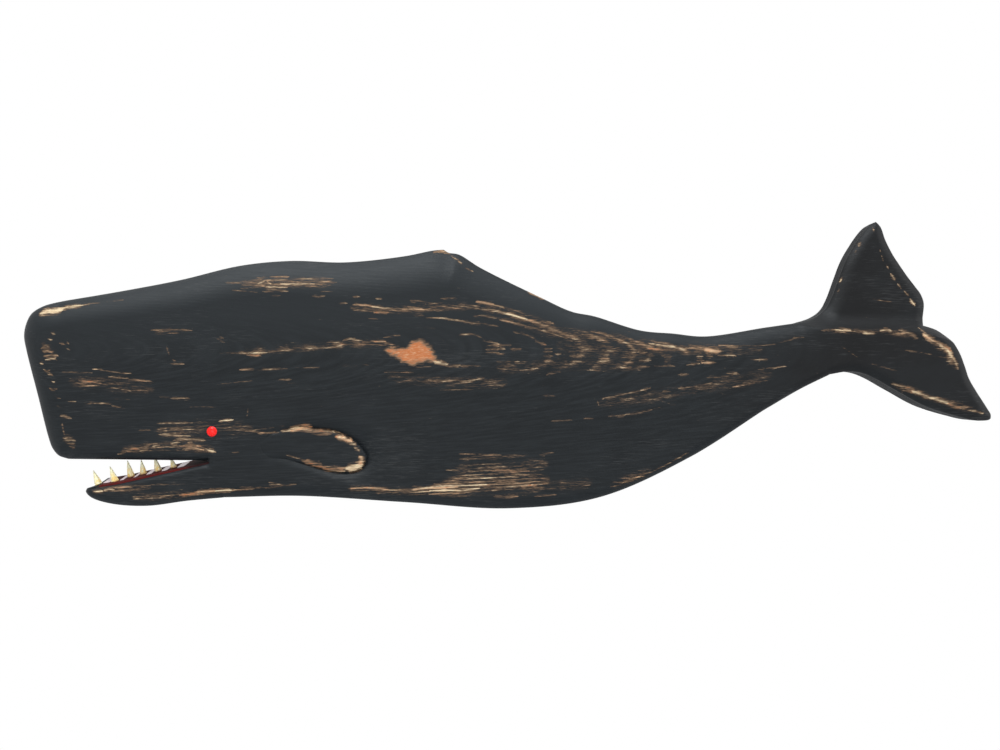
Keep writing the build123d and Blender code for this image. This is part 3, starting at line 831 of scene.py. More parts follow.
def wear_at(points):
    """How worn the paint is at each point, and how orange its wood."""
    wear, amber = patch_wear(points)
    for line, half_width, strength, tone in wear_lines():
        near = inside_box(points, line, STREAK_REACH * half_width)
        if not len(near):
            continue
        distance, nearest = nearest_on(line, points[near])
        share = nearest / max(1, len(line) - 1)
        taper = np.clip(np.minimum(share, 1 - share) / TAPER_SHARE, 0, 1) ** 0.5
        width = half_width * (TAPERED_WIDTH + (1 - TAPERED_WIDTH) * taper)
        value = strength * np.exp(-(distance / width) ** 2)
        stronger = value > wear[near]
        wear[near] = np.where(stronger, value, wear[near])
        amber[near] = np.where(stronger, tone, amber[near])
    return wear, amber


def patch_wear(points):
    """The wear of the bare patch alone."""
    patch = np.array([on_face(pixel) for pixel in PATCH_OUTLINE])
    edge = even_line(np.vstack([patch, patch[:1]]), WEAR_SPACING)
    distance, _ = nearest_on(edge, points, 2 * PATCH_FEATHER)
    inward = np.where(inside(points, patch), distance, -distance)
    wear = PATCH_STRENGTH * smooth_step(inward, -PATCH_FEATHER, PATCH_FEATHER)
    return wear, np.where(wear > 0, ORANGE, 0.0)


def ring_at(points, depths):
    """The distance of each place in the board from the heart of its tree."""
    centre_z = on_board((0, RING_CENTRE_UP_SHARE))[1]
    snout_x = on_board((0, 0))[0]
    height = RING_HEIGHT_AT_SNOUT + RING_HEIGHT_GAIN * (points[:, 0] - snout_x)
    height = height + BOARD_THICKNESS - depths
    return np.sqrt((points[:, 1] - centre_z) ** 2 + height ** 2)


# The mesh of the body

def mouth_weights():
    """How much each point of the outline follows the tilt of the mouth's saw cut."""
    weights = []
    for name, line in LINES.items():
        points = line[:-1]
        if name == "jaw_line":
            rise = smooth_step(points[:, 0] - line[0, 0], *JAW_TILT_SPAN)
            weights.append(JAW_TIP_TILT + (1 - JAW_TIP_TILT) * rise)
        elif name in MOUTH_STRETCHES:
            weights.append(np.ones(len(points)))
        elif name == "jaw":
            distance = np.linalg.norm(points - line[-1], axis=1)
            weights.append(JAW_TIP_TILT * (1 - smooth_step(distance, 0, JAW_FADE)))
        elif name == "snout":
            distance = np.linalg.norm(points - line[0], axis=1)
            weights.append(1 - smooth_step(distance, 0, SNOUT_FADE))
        else:
            weights.append(np.zeros(len(points)))
    return np.concatenate(weights)


def red_weights(share):
    """Where the red paint of the mouth lies along the outline, at a share of the way back."""
    weights = []
    for name, line in LINES.items():
        painted = name in MOUTH_STRETCHES and (name != "roof" or share > ROOF_BLACK_SHARE)
        weights.append(red_start(line[:-1]) * painted)
    return np.concatenate(weights)


def red_start(points):
    """The red paint starts behind the first tooth."""
    first = on_board((TOOTH_ALONG_SHARES[0], 0))[0]
    return smooth_step(points[:, 0] - first, *RED_START_SPAN)


def gloss_highlight_weights(share):
    """Where the red paint is glossy and carries a painted highlight: the far part of the jaw, between
    the teeth.
    """
    tooth_places = [on_board((along, 0))[0] for along in TOOTH_ALONG_SHARES]
    first, last = tooth_places[0], tooth_places[-1]
    far_part = smooth_step(share, *GLOSS_HIGHLIGHT_NEAR_SHARES) * (1 - smooth_step(share, *GLOSS_HIGHLIGHT_FAR_SHARES))
    weights = []
    for name, line in LINES.items():
        x = line[:-1, 0]
        away = np.min([np.abs(x - place) for place in tooth_places], axis=0)
        open_way = smooth_step(away, *GLOSS_HIGHLIGHT_TOOTH_SPAN) * smooth_step(x - first, *GLOSS_HIGHLIGHT_START_SPAN)
        open_way *= 1 - smooth_step(x - last, *GLOSS_HIGHLIGHT_END_SPAN)
        weights.append(open_way * far_part * (name == "jaw_line"))
    return np.concatenate(weights)


def offset_ring(loop, inset):
    """Points this far inside the loop, without those that the loop's own bends crowd out."""
    ring = offset_loop(loop, inset)
    distance = edge_distance(ring, 2 * inset)
    return ring[(distance > CROWDED_SHARE * inset) & inside(ring, loop)]


def thinned(groups):
    """One list of points from groups of (points, gap). A point is kept where it stays its
    group's gap away from every point that is kept before it."""
    cell_size = max(gap for _, gap in groups)
    cells = {}
    kept = []
    for points, gap in groups:
        for x, z in points.tolist():
            column, row = int(x // cell_size), int(z // cell_size)
            near = [
                other for i in (-1, 0, 1) for j in (-1, 0, 1)
                for other in cells.get((column + i, row + j), ())
            ]
            if all((x - a) ** 2 + (z - b) ** 2 >= gap * gap for a, b in near):
                cells.setdefault((column, row), []).append((x, z))
                kept.append((x, z))
    return np.array(kept)


def grid_points(low, high, spacing):
    """A staggered grid over a rectangle."""
    row_step = spacing * math.sqrt(3) / 2
    rows = []
    for number, z in enumerate(np.arange(low[1], high[1], row_step)):
        shift = spacing / 2 * (number % 2)
        xs = np.arange(low[0] + shift, high[0], spacing)
        rows.append(np.stack([xs, np.full(len(xs), z)], axis=1))
    return np.vstack(rows)


def feature_points():
    """Extra points along the fin, the ridge and the worn streaks."""
    fin = fin_line()[:-1]
    groups = [offset_loop(fin, inset) for inset in FIN_LINE_INSETS]
    groups.append(ridge_line())
    for line, half_width, _, _ in wear_lines():
        if half_width > BROAD:
            continue
        groups.append(line)
        if len(line) > 2:
            along = np.gradient(line, axis=0)
            along /= np.maximum(np.linalg.norm(along, axis=1)[:, None], TINY)
            across = np.stack([-along[:, 1], along[:, 0]], axis=1) * STREAK_LINE_SHARE * half_width
            groups += [line - across, line + across]
    return np.vstack(groups)


def front_points(loop):
    """The outline's points, then every point of the front inside it."""
    groups = [(loop, 0.0)]
    for inset in INSET_RINGS:
        groups.append((offset_ring(loop, inset), RING_GAP_SHARE * min(inset, WIDEST_RING_GAP)))
    grid = grid_points(loop.min(0), loop.max(0), GRID_SPACING)
    for points, gap in ((feature_points(), FEATURE_GAP), (grid, GRID_GAP_SHARE * GRID_SPACING)):
        points = points[inside(points, loop)]
        groups.append((points[edge_distance(points, 2 * EDGE_MARGIN) > EDGE_MARGIN], gap))
    return thinned(groups)


def triangulate(points, loops):
    """Triangles that fill the region between the loops, given as lists of point numbers."""
    edges = [edge for loop in loops for edge in zip(loop, loop[1:] + loop[:1])]
    vectors = [Vector((x, z)) for x, z in points]
    result = delaunay_2d_cdt(vectors, edges, [], 0, MERGE_DISTANCE)
    new_points, triangles, origins = result[0], result[2], result[3]
    numbers = [origin[0] if origin else None for origin in origins]
    if len(new_points) != len(points):
        raise ValueError("the outline crosses itself")
    centres = np.array([
        [sum(new_points[v][axis] for v in triangle) / 3 for axis in (0, 1)] for triangle in triangles
    ])
    keep = inside(centres, np.array([points[number] for number in loops[0]]))
    for loop in loops[1:]:
        keep &= ~inside(centres, np.array([points[number] for number in loop]))
    return [tuple(numbers[v] for v in triangle) for triangle, kept in zip(triangles, keep) if kept]


def slot_loop(length, width):
    """A round-ended upright slot about the origin, anticlockwise."""
    half = (length - width) / 2
    radius = width / 2
    points = []
    for centre_z, first_angle in ((half, 0.0), (-half, math.pi)):
        for number in range(POCKET_SIDES // 2 + 1):
            angle = first_angle + math.pi * number / (POCKET_SIDES // 2)
            points.append((radius * math.cos(angle), centre_z + radius * math.sin(angle)))
    return np.array(points)


class MeshParts:
    """Collects the vertices, faces and attributes of one mesh."""

    usual = {"red": 0.0, "gloss": 0.0, "side": 1.0, "back": 0.0}

    def __init__(self):
        self.vertices = []
        self.faces = []
        self.values = {name: [] for name in self.usual}

    def add(self, points, depths, **values):
        """Add points at their depths. Returns the number of the first."""
        first = sum(len(group) for group in self.vertices)
        depths = np.broadcast_to(depths, len(points))
        self.vertices.append(np.stack([points[:, 0], -depths, points[:, 1]], axis=1))
        for name, usual in self.usual.items():
            self.values[name].append(np.broadcast_to(values.get(name, usual), len(points)))
        return first

    def strip(self, first_a, first_b, count):
        """Quads between two closed rings of as many points."""
        for number in range(count):
            after = (number + 1) % count
            self.faces.append((first_a + number, first_a + after, first_b + after, first_b + number))


def body_mesh():
    """The whole carved body: front, sides, back and pockets."""
    loop = np.vstack([line[:-1] for line in LINES.values()])
    tilt = mouth_weights()
    parts = MeshParts()

    def tilted(depth):
        rise = MOUTH_TILT_RISE * (1 - depth / BOARD_THICKNESS) * tilt
        return loop + np.stack([np.zeros(len(loop)), rise], axis=1)

    edge_depth = add_front(parts, loop, tilted)
    last_ring = add_sides(parts, edge_depth, tilted)
    rim = offset_loop(tilted(0.0), BACK_EDGE_INSET)
    first = parts.add(rim, 0.0, red=red_weights(1.0))
    parts.strip(last_ring, first, len(loop))
    add_back(parts, rim, first)
    return finish_body(parts)


def add_front(parts, loop, tilted):
    """The carved front. Returns the depth of its edge."""
    points = front_points(loop)
    depths = front_depth(points)
    edge_depth = depths[:len(loop)]
    lap, _ = nearest_on(LINES["jaw_line"], points, 2 * RED_LAP)
    red = (1 - smooth_step(lap, 0.0, RED_LAP)) * red_start(points)
    shown = np.vstack([tilted(edge_depth), points[len(loop):]])
    parts.add(shown, depths, red=red, side=0.0)
    parts.faces += triangulate(points, [list(range(len(loop)))])
    return edge_depth


def add_sides(parts, edge_depth, tilted):
    """The sawn sides. Returns the number of the first point of the last ring."""
    last_ring = 0
    for share in WALL_SHARES:
        depth = edge_depth + (BACK_EASING - edge_depth) * share
        first = parts.add(tilted(depth), depth, red=red_weights(share), gloss=gloss_highlight_weights(share))
        parts.strip(last_ring, first, len(edge_depth))
        last_ring = first
    return last_ring


def add_back(parts, rim, first):
    """The flat back, with the pockets for the plates and the rooms for the nails. The rim
    is the last group of points that was added, and its first point has the given number."""
    places = [np.array(on_board(shares)) for shares in PLATE_SHARES]
    pockets = [slot_loop(POCKET_LENGTH, POCKET_WIDTH) + place for place in places]
    grid = grid_points(rim.min(0), rim.max(0), BACK_SPACING)
    grid = grid[inside(grid, rim)]
    for pocket in pockets:
        grid = grid[~inside(grid, pocket)]
    edges = np.vstack([rim] + pockets)
    border = offset_ring(rim, BACK_BORDER_INSET)
    points = thinned([(edges, 0.0), (border, BACK_BORDER_GAP), (grid, BACK_GAP_SHARE * BACK_SPACING)])
    interior = points[len(edges):]
    loops = []
    for loop in [rim] + pockets:
        start = sum(len(other) for other in loops)
        loops.append(list(range(start, start + len(loop))))
    for pocket in pockets:
        parts.add(pocket, 0.0, back=1.0)
    parts.add(interior, 0.0, back=smooth_step(nearest_on(rim, interior)[0], *LAP_SPAN))
    for triangle in triangulate(points, loops):
        parts.faces.append(tuple(first + number for number in reversed(triangle)))
    for place, loop in zip(places, loops[1:]):
        add_pocket(parts, place, first + loop[0])


def add_pocket(parts, place, last_ring):
    """The pocket of one plate and the deeper room in its floor."""
    outer = slot_loop(POCKET_LENGTH, POCKET_WIDTH) + place
    inner = slot_loop(NAIL_ROOM_LENGTH, NAIL_ROOM_WIDTH) + place
    sides = len(outer)
    room_floor = POCKET_DEPTH + NAIL_ROOM_DEPTH
    for loop, depth in ((outer, POCKET_DEPTH), (inner, POCKET_DEPTH), (inner, room_floor)):
        first = parts.add(loop, depth, back=1.0)
        parts.strip(last_ring, first, sides)
        last_ring = first
    centre = parts.add(place[None, :], room_floor, back=1.0)
    for number in range(sides):
        parts.faces.append((last_ring + number, last_ring + (number + 1) % sides, centre))


def finish_body(parts):
    """The body's mesh and object, with the values that its material reads."""
    vertices = np.vstack(parts.vertices)
    flat, depths = vertices[:, (0, 2)], -vertices[:, 1]
    wear, amber = wear_at(flat)
    mesh = bpy.data.meshes.new("whale_body")
    mesh.from_pydata((vertices * MM).tolist(), [], parts.faces)
    set_values(mesh, "wear", wear * smooth_step(depths, *WORN_DEPTHS))
    set_values(mesh, "amber", amber)
    set_values(mesh, "ring", ring_at(flat, depths))
    for name, groups in parts.values.items():
        set_values(mesh, name, np.concatenate(groups))
    mesh.shade_smooth()
    mesh.set_sharp_from_angle(angle=math.radians(SHARP_ANGLE))
    mesh.validate()
    return add_to_scene("whale_body", mesh)


def set_values(mesh, name, values):
    """Give each vertex of a mesh its own value of a named attribute."""
    attribute = mesh.attributes.new(name, "FLOAT", "POINT")
    attribute.data.foreach_set("value", np.array(values, np.float32))


def add_to_scene(name, data):
    """A new object of the scene with this mesh, lamp or camera."""
    thing = bpy.data.objects.new(name, data)
    bpy.context.scene.collection.objects.link(thing)
    return thing


# Materials

# The numbers of the mix node's sockets for colours
MIX_FIRST = 6
MIX_SECOND = 7
MIX_RESULT = 2


class Nodes:
    """Short calls for the nodes of a material or of the world."""

    def __init__(self, tree):
        self.tree = tree

    def texture_place(self, name):
        """One of the texture coordinates, as three values."""
        place = self.tree.nodes.new("ShaderNodeTexCoord").outputs[name]
        split = self.tree.nodes.new("ShaderNodeSeparateXYZ")
        self.put(split.inputs[0], place)
        return split.outputs

    def put(self, socket, value):
        """Link a value to a socket, or set it there if it is a constant."""
        if isinstance(value, bpy.types.NodeSocket):
            self.tree.links.new(value, socket)
        else:
            socket.default_value = value

    def attribute(self, name):
        """A value that the mesh carries at each vertex."""
        node = self.tree.nodes.new("ShaderNodeAttribute")
        node.attribute_name = name
        return node.outputs["Fac"]

    def sum(self, operation, first, second=0.0, third=0.0, clamp=False):
        """One step of arithmetic."""
        node = self.tree.nodes.new("ShaderNodeMath")
        node.operation = operation
        node.use_clamp = clamp
        for socket, value in zip(node.inputs, (first, second, third)):
            self.put(socket, value)
        return node.outputs[0]

    def noise(self, values, lengths, detail=2.0, roughness=0.5):
        """Noise over three values, each divided by its own length."""
        place = self.tree.nodes.new("ShaderNodeCombineXYZ")
        for socket, value, length in zip(place.inputs, values, lengths):
            self.put(socket, self.sum("DIVIDE", value, length))
        node = self.tree.nodes.new("ShaderNodeTexNoise")
        self.put(node.inputs["Vector"], place.outputs[0])
        self.put(node.inputs["Scale"], 1.0)
        self.put(node.inputs["Detail"], detail)
        self.put(node.inputs["Roughness"], roughness)
        return node.outputs[0]

    def swayed(self, value, texture, amount):
        """A value that a texture raises and lowers."""
        return self.sum("MULTIPLY_ADD", self.sum("SUBTRACT", texture, 0.5), amount, value)

    def step(self, value, low, high, to_low=0.0, to_high=1.0):
        """A share that changes smoothly between a low and a high value."""
        node = self.tree.nodes.new("ShaderNodeMapRange")
        node.interpolation_type = "SMOOTHSTEP"
        names = ("Value", "From Min", "From Max", "To Min", "To Max")
        for name, setting in zip(names, (value, low, high, to_low, to_high)):
            self.put(node.inputs[name], setting)
        return node.outputs[0]

    def mix(self, share, first, second):
        """The first colour, turned into the second by a share."""
        node = self.tree.nodes.new("ShaderNodeMix")
        node.data_type = "RGBA"
        self.put(node.inputs[0], share)
        self.put(node.inputs[MIX_FIRST], first)
        self.put(node.inputs[MIX_SECOND], second)
        return node.outputs[MIX_RESULT]

    def bump(self, height, distance, normal=None):
        """A relief of this height over another normal."""
        node = self.tree.nodes.new("ShaderNodeBump")
        self.put(node.inputs["Height"], height)
        self.put(node.inputs["Distance"], distance * MM)
        self.put(node.inputs["Strength"], 1.0)
        if normal is not None:
            self.put(node.inputs["Normal"], normal)
        return node.outputs[0]


class Shader(Nodes):
    """A material and the nodes of its surface."""

    def __init__(self, name):
        self.material = bpy.data.materials.new(name)
        self.material.use_nodes = True
        super().__init__(self.material.node_tree)
        self.surface = self.tree.nodes["Principled BSDF"]

    def set(self, **values):
        """Put values into the surface's sockets, by name."""
        for name, value in values.items():
            self.put(self.surface.inputs[name.replace("_", " ")], value)

    def position(self):
        """The place on the object in millimetres, as three values."""
        return [self.sum("MULTIPLY", value, 1 / MM) for value in self.texture_place("Object")]


# Colours, as linear light
PAINT = (0.0054, 0.0072, 0.0086, 1)
PAINT_TAIL = (0.0046, 0.0044, 0.0048, 1)
# Greyer paint: worn paint where fibres, late wood and broad patches show, and also a painted sheen on
# the upper body
PAINT_WORN_AND_SHEEN = (0.0125, 0.0150, 0.0168, 1)
PAINT_EDGE = (0.090, 0.052, 0.029, 1)
PAINT_HAIR = (0.046, 0.046, 0.046, 1)
WOOD_CREAM = (0.74, 0.59, 0.37, 1)
WOOD_ORANGE = (0.42, 0.130, 0.042, 1)
WOOD_BROWN = (0.20, 0.105, 0.05, 1)
WOOD_GREY = (0.175, 0.118, 0.072, 1)
PINE = (0.66, 0.42, 0.20, 1)
PINE_DARK = (0.40, 0.20, 0.075, 1)
MOUTH_RED = (0.082, 0.004, 0.003, 1)
# Painted shade that darkens the mouth's red towards its corner
MOUTH_PAINTED_SHADE = (0.020, 0.003, 0.003, 1)
# Painted highlight: pinkish white that stands in for the reflection on the glossy red
MOUTH_PAINTED_HIGHLIGHT = (1.0, 0.72, 0.76, 1)
TOOTH_PALE = (1.0, 0.95, 0.66, 1)
TOOTH_STRAW = (1.0, 0.82, 0.38, 1)
TOOTH_LINE = (0.60, 0.40, 0.16, 1)
TOOTH_FLUSH = (1.0, 0.68, 0.22, 1)
TOOTH_TIP = (0.62, 0.56, 0.44, 1)
TOOTH_FOOT = (0.34, 0.10, 0.04, 1)
ENAMEL = (0.86, 0.006, 0.004, 1)
ENAMEL_BRIGHT = (0.95, 0.014, 0.008, 1)
ZINC_BLUISH = (0.60, 0.61, 0.62, 1)
ZINC_YELLOWISH = (0.68, 0.66, 0.60, 1)
WHITE = (1, 1, 1, 1)
FLOOR_GREY = (0.86, 0.86, 0.86, 1)
FILL_BLUE = (0.88, 0.94, 1.0, 1)

# The rings of the wood
RING_SPACING = 2.9
RING_WARP = 5.0
LATE_WOOD_POWER = 2.5

# How long the grains of each texture are, in millimetres: along the board, across it and
# into it
WARP_LENGTHS = (90.0, 11.0, 40.0)
FIBRE_LENGTHS = (26.0, 1.1, 3.0)
FINE_LENGTHS = (3.8, 0.5, 1.2)
STRAND_LENGTHS = (9.0, 1.0, 3.0)
CLOUD_LENGTHS = (30.0, 6.0, 9.0)
HAIR_LENGTHS = (16.0, 0.75, 3.0)
RUBBED_LENGTHS = (110.0, 34.0, 60.0)

# The same along the board, into it and across it, and on the small pieces
BROAD_LENGTHS = (60.0, 60.0, 45.0)
BLOTCH_LENGTHS = (3.0, 3.0, 3.0)
PEEL_LENGTHS = (1.4, 1.4, 1.4)
ZINC_CLOUD_LENGTHS = (7.0, 7.0, 7.0)
SCRATCH_LENGTHS = (0.25, 2.0, 9.0)

# The brown lines of a tooth: in turns around it, in its heights and in millimetres
TOOTH_LINE_LENGTHS = (0.11, 1.6, 30.0)

# How much each texture raises and lowers what it breaks up
STRAND_ON_WEAR = 1.3
FINE_ON_WEAR = 1.15
CLOUD_ON_WEAR = 0.7
RINGS_ON_WEAR = 0.34
RUBBED_ON_HAIR = 0.5
FINE_ON_ORANGE = 1.7
BROAD_ON_LAP = 1.4
FINE_ON_RED = 0.35
FINE_ON_GLOSS_HIGHLIGHT = 0.5

# Where each look sets in: the low and the high value of what drives it, and where there
# are four numbers, its share at the low and at the high one. Places are in millimetres.
BARE_WOOD = (0.5, 0.86)
BROWN_HALO = (0.14, 0.58)
HALO_BY_WEAR = (0.08, 0.42)
RINGS_BY_WEAR = (0.1, 0.4)
WORN_FIBRES = (0.35, 0.75)
WORN_BROADLY = (0.4, 0.75, 0.0, 0.35)
# Painted sheen: the paint greys towards the top and ahead of the tail, in place of light from above
PAINTED_SHEEN_UPWARDS = (-12, 58)
PAINTED_SHEEN_FORWARDS = (330, 220, 0.0, 0.95)
DARK_TAIL = (160, 330, 0.0, 0.85)
PALE_HAIRS = (0.58, 0.76, 0.0, 0.5)
GREY_WOOD = (1.35, 0.66, 0.0, 0.9)
BROWN_FIBRES = (0.46, 0.34, 0.0, 0.5)
DARK_PINE_FIBRES = (0.3, 0.7, 0.0, 0.4)
LAP_EDGE = (0.46, 0.52)
RED_EDGE = (0.62, 0.72)
GLOSS_HIGHLIGHT_EDGE = (0.45, 0.6)
# Painted shade in the mouth: it deepens over these millimetres before the corner
PAINTED_CORNER_SHADE = (-30, -12)
STRAW_BLOTCHES = (0.35, 0.7, 0.0, 0.55)
BROWN_LINES = (0.58, 0.70, 0.0, 0.5)
FLUSH_BY_HEIGHT = (0.7, 0.15)
FLUSH_BY_BLOTCH = (0.3, 0.6)
GREY_TIP = (0.8, 1.0, 0.0, 0.35)
BROWN_FOOT = (0.07, 0.0, 0.0, 0.7)
BRIGHT_PEEL = (0.35, 0.7)
YELLOWISH_CLOUDS = (0.35, 0.7)

# Shares and strengths
LATE_WOOD_WORN = 0.1
LATE_WOOD_LEVEL = 0.4
ORANGE_GAIN = 0.86
ORANGE_LEAST = 0.12
MOUTH_CORNER_SHARE = 0.193

# Roughness, and how much each look adds to it
PAINT_ROUGHNESS = (0.2, 0.8, 0.36, 0.52)
BARE_ROUGHER = 0.2
SIDE_ROUGHER = 0.34
BACK_ROUGHER = 0.3
MOUTH_ROUGHNESS = 0.8
GLOSS_ROUGHER = -0.62
TOOTH_ROUGHNESS = (0.3, 0.7, 0.42, 0.6)
ENAMEL_ROUGHNESS = (0.3, 0.7, 0.22, 0.32)
PLATE_ROUGHNESS = (0.3, 0.7, 0.28, 0.42)
SCREW_ROUGHNESS = (0.3, 0.7, 0.22, 0.36)
FLOOR_ROUGHNESS = 0.9
PAINT_SPECULAR = 0.2
ENAMEL_SPECULAR = 0.3

# Heights of the relief, in millimetres
GRAIN_RELIEF = 0.09
FIBRE_RELIEF_SHARE = 0.6
RING_RELIEF_SHARE = 0.2
PAINT_THICKNESS = 0.12
FINE_RELIEF = 0.05
TOOTH_RELIEF = 0.15
PEEL_RELIEF = 0.03
SCRATCH_RELIEF = 0.02


class PaintedPine(Shader):
    """Satin charcoal paint over flat-sawn pine, rubbed through to the wood in streaks."""

    def __init__(self):
        super().__init__("painted_pine")
        x, y, z = self.place = self.position()
        ring = self.attribute("ring")
        warp = self.noise((x, ring, y), WARP_LENGTHS)
        ring = self.sum("MULTIPLY_ADD", warp, RING_WARP, ring)
        turn = self.sum("MULTIPLY", ring, 2 * math.pi / RING_SPACING)
        late = self.sum("MULTIPLY_ADD", self.sum("SINE", turn), 0.5, 0.5)
        self.late = self.sum("POWER", late, LATE_WOOD_POWER)
        self.fibre = self.noise((x, ring, y), FIBRE_LENGTHS, detail=4.0, roughness=0.62)
        self.fine = self.noise((x, z, y), FINE_LENGTHS)
        self.broad = self.noise((x, y, z), BROAD_LENGTHS, detail=3.0)
        self.wear = self.attribute("wear")
        self.loose = self.loosened()
        self.bare = self.step(self.loose, *BARE_WOOD)
        self.unpainted = self.ragged("back", self.broad, BROAD_ON_LAP, LAP_EDGE)
        self.in_mouth = self.ragged("red", self.fine, FINE_ON_RED, RED_EDGE)
        # This mask lowers the roughness and also mixes in the painted highlight
        self.gloss = self.ragged("gloss", self.fine, FINE_ON_GLOSS_HIGHLIGHT, GLOSS_HIGHLIGHT_EDGE)
        colour = self.mix(self.bare, self.paint(), self.worn_wood())
        colour = self.mix(self.in_mouth, colour, self.mouth())
        colour = self.mix(self.unpainted, colour, self.pine())
        self.set(Base_Color=colour, Roughness=self.roughness(), Normal=self.relief())
        self.set(Specular_IOR_Level=PAINT_SPECULAR)

    def ragged(self, name, texture, amount, edge):
        """The region of a named attribute, its edge broken up by a texture."""
        return self.step(self.swayed(self.attribute(name), texture, amount), *edge)

    def loosened(self):
        """The wear, broken up by the grain and drawn out along the rings."""
        x, y, z = self.place
        strand = self.noise((x, z, y), STRAND_LENGTHS, roughness=0.55)
        cloud = self.noise((x, z, y), CLOUD_LENGTHS)
        loose = self.swayed(self.wear, strand, STRAND_ON_WEAR)
        loose = self.swayed(loose, self.fine, FINE_ON_WEAR)
        loose = self.swayed(loose, cloud, CLOUD_ON_WEAR)
        rings = self.sum("SUBTRACT", self.late, LATE_WOOD_LEVEL)
        rings = self.sum("MULTIPLY", rings, self.step(self.wear, *RINGS_BY_WEAR))
        return self.sum("MULTIPLY_ADD", rings, RINGS_ON_WEAR, loose)

    def paint(self):
        """Charcoal, greyed towards the top of the body ahead of the tail by a painted sheen that stands
        in for light from above, with pale hairs and a brown edge to the wear.
        """
        x, y, z = self.place
        # Painted sheen: greyer paint towards the top, ahead of the tail, standing in for light from
        # above
        painted_sheen = self.sum("MULTIPLY", self.step(z, *PAINTED_SHEEN_UPWARDS), self.step(x, *PAINTED_SHEEN_FORWARDS))
        rubbed = self.noise((x, z, y), RUBBED_LENGTHS, detail=1.0)
        hair = self.noise((x, z, y), HAIR_LENGTHS, detail=3.0, roughness=0.7)
        hair = self.swayed(hair, rubbed, RUBBED_ON_HAIR)
        halo = self.step(self.loose, *BROWN_HALO)
        halo = self.sum("MULTIPLY", halo, self.step(self.wear, *HALO_BY_WEAR))
        colour = self.mix(self.step(self.fibre, *WORN_FIBRES), PAINT, PAINT_WORN_AND_SHEEN)
        for share, tone in (
            (self.sum("MULTIPLY", self.late, LATE_WOOD_WORN), PAINT_WORN_AND_SHEEN),
            (self.step(x, *DARK_TAIL), PAINT_TAIL),
            (painted_sheen, PAINT_WORN_AND_SHEEN),
            (self.step(self.broad, *WORN_BROADLY), PAINT_WORN_AND_SHEEN),
            (self.step(hair, *PALE_HAIRS), PAINT_HAIR),
            (halo, PAINT_EDGE),
        ):
            colour = self.mix(share, colour, tone)
        return colour

    def worn_wood(self):
        """The wood that shows through the paint, greyed towards its edges."""
        amber = self.sum("MULTIPLY", self.attribute("amber"), ORANGE_GAIN)
        orange = self.swayed(amber, self.fine, FINE_ON_ORANGE)
        orange = self.sum("ADD", orange, ORANGE_LEAST, clamp=True)
        colour = self.mix(orange, WOOD_CREAM, WOOD_ORANGE)
        colour = self.mix(self.step(self.loose, *GREY_WOOD), colour, WOOD_GREY)
        return self.mix(self.step(self.fibre, *BROWN_FIBRES), colour, WOOD_BROWN)

    def pine(self):
        """The bare pine of the back."""
        colour = self.mix(self.late, PINE, PINE_DARK)
        return self.mix(self.step(self.fibre, *DARK_PINE_FIBRES), colour, PINE_DARK)

    def mouth(self):
        """Red, glossy with a painted pinkish-white highlight between the teeth, and darkened by painted
        shade in the corner.
        """
        corner_x = on_board((MOUTH_CORNER_SHARE, 0))[0]
        start, end = PAINTED_CORNER_SHADE
        # Painted shade: the red darkens towards the mouth's corner
        shade = self.step(self.place[0], corner_x + start, corner_x + end)
        # Between the teeth the red turns to a painted highlight
        return self.mix(shade, self.mix(self.gloss, MOUTH_RED, MOUTH_PAINTED_HIGHLIGHT), MOUTH_PAINTED_SHADE)

    def roughness(self):
        """Satin on the paint, rougher on the wood and the sawn sides."""
        roughness = self.step(self.fibre, *PAINT_ROUGHNESS)
        for share, rougher in (
            (self.bare, BARE_ROUGHER),
            (self.attribute("side"), SIDE_ROUGHER),
            (self.unpainted, BACK_ROUGHER),
        ):
            roughness = self.sum("MULTIPLY_ADD", share, rougher, roughness)
        mouth = self.sum("MULTIPLY_ADD", self.gloss, GLOSS_ROUGHER, MOUTH_ROUGHNESS)
        roughness = self.sum("MULTIPLY", roughness, self.sum("SUBTRACT", 1.0, self.in_mouth))
        return self.sum("MULTIPLY_ADD", self.in_mouth, mouth, roughness)

    def relief(self):
        """The relief of the grain, the paint's thickness and the fine scratches."""
        rings = self.sum("MULTIPLY", self.late, RING_RELIEF_SHARE)
        grain = self.sum("MULTIPLY_ADD", self.fibre, FIBRE_RELIEF_SHARE, rings)
        normal = self.bump(grain, GRAIN_RELIEF)
        normal = self.bump(self.bare, -PAINT_THICKNESS, normal=normal)
        return self.bump(self.fine, FINE_RELIEF, normal=normal)


def whittled_wood():
    """Pale wood with brown lines along each tooth, warmer at the foot and greyed at the tip."""
    shader = Shader("whittled_wood")
    x, y, z = shader.position()
    along = shader.attribute("along")
    around = shader.attribute("around")
    lines = shader.noise((around, along, x), TOOTH_LINE_LENGTHS, detail=3.0, roughness=0.6)
    blotch = shader.noise((x, y, z), BLOTCH_LENGTHS)
    flush = shader.step(along, *FLUSH_BY_HEIGHT)
    flush = shader.sum("MULTIPLY", flush, shader.step(blotch, *FLUSH_BY_BLOTCH))
    colour = TOOTH_PALE
    for share, tone in (
        (shader.step(blotch, *STRAW_BLOTCHES), TOOTH_STRAW),
        (shader.step(lines, *BROWN_LINES), TOOTH_LINE),
        (flush, TOOTH_FLUSH),
        (shader.step(along, *GREY_TIP), TOOTH_TIP),
        (shader.step(along, *BROWN_FOOT), TOOTH_FOOT),
    ):
        colour = shader.mix(share, colour, tone)
    shader.set(Base_Color=colour, Roughness=shader.step(lines, *TOOTH_ROUGHNESS))
    shader.set(Normal=shader.bump(lines, TOOTH_RELIEF))
    return shader.material


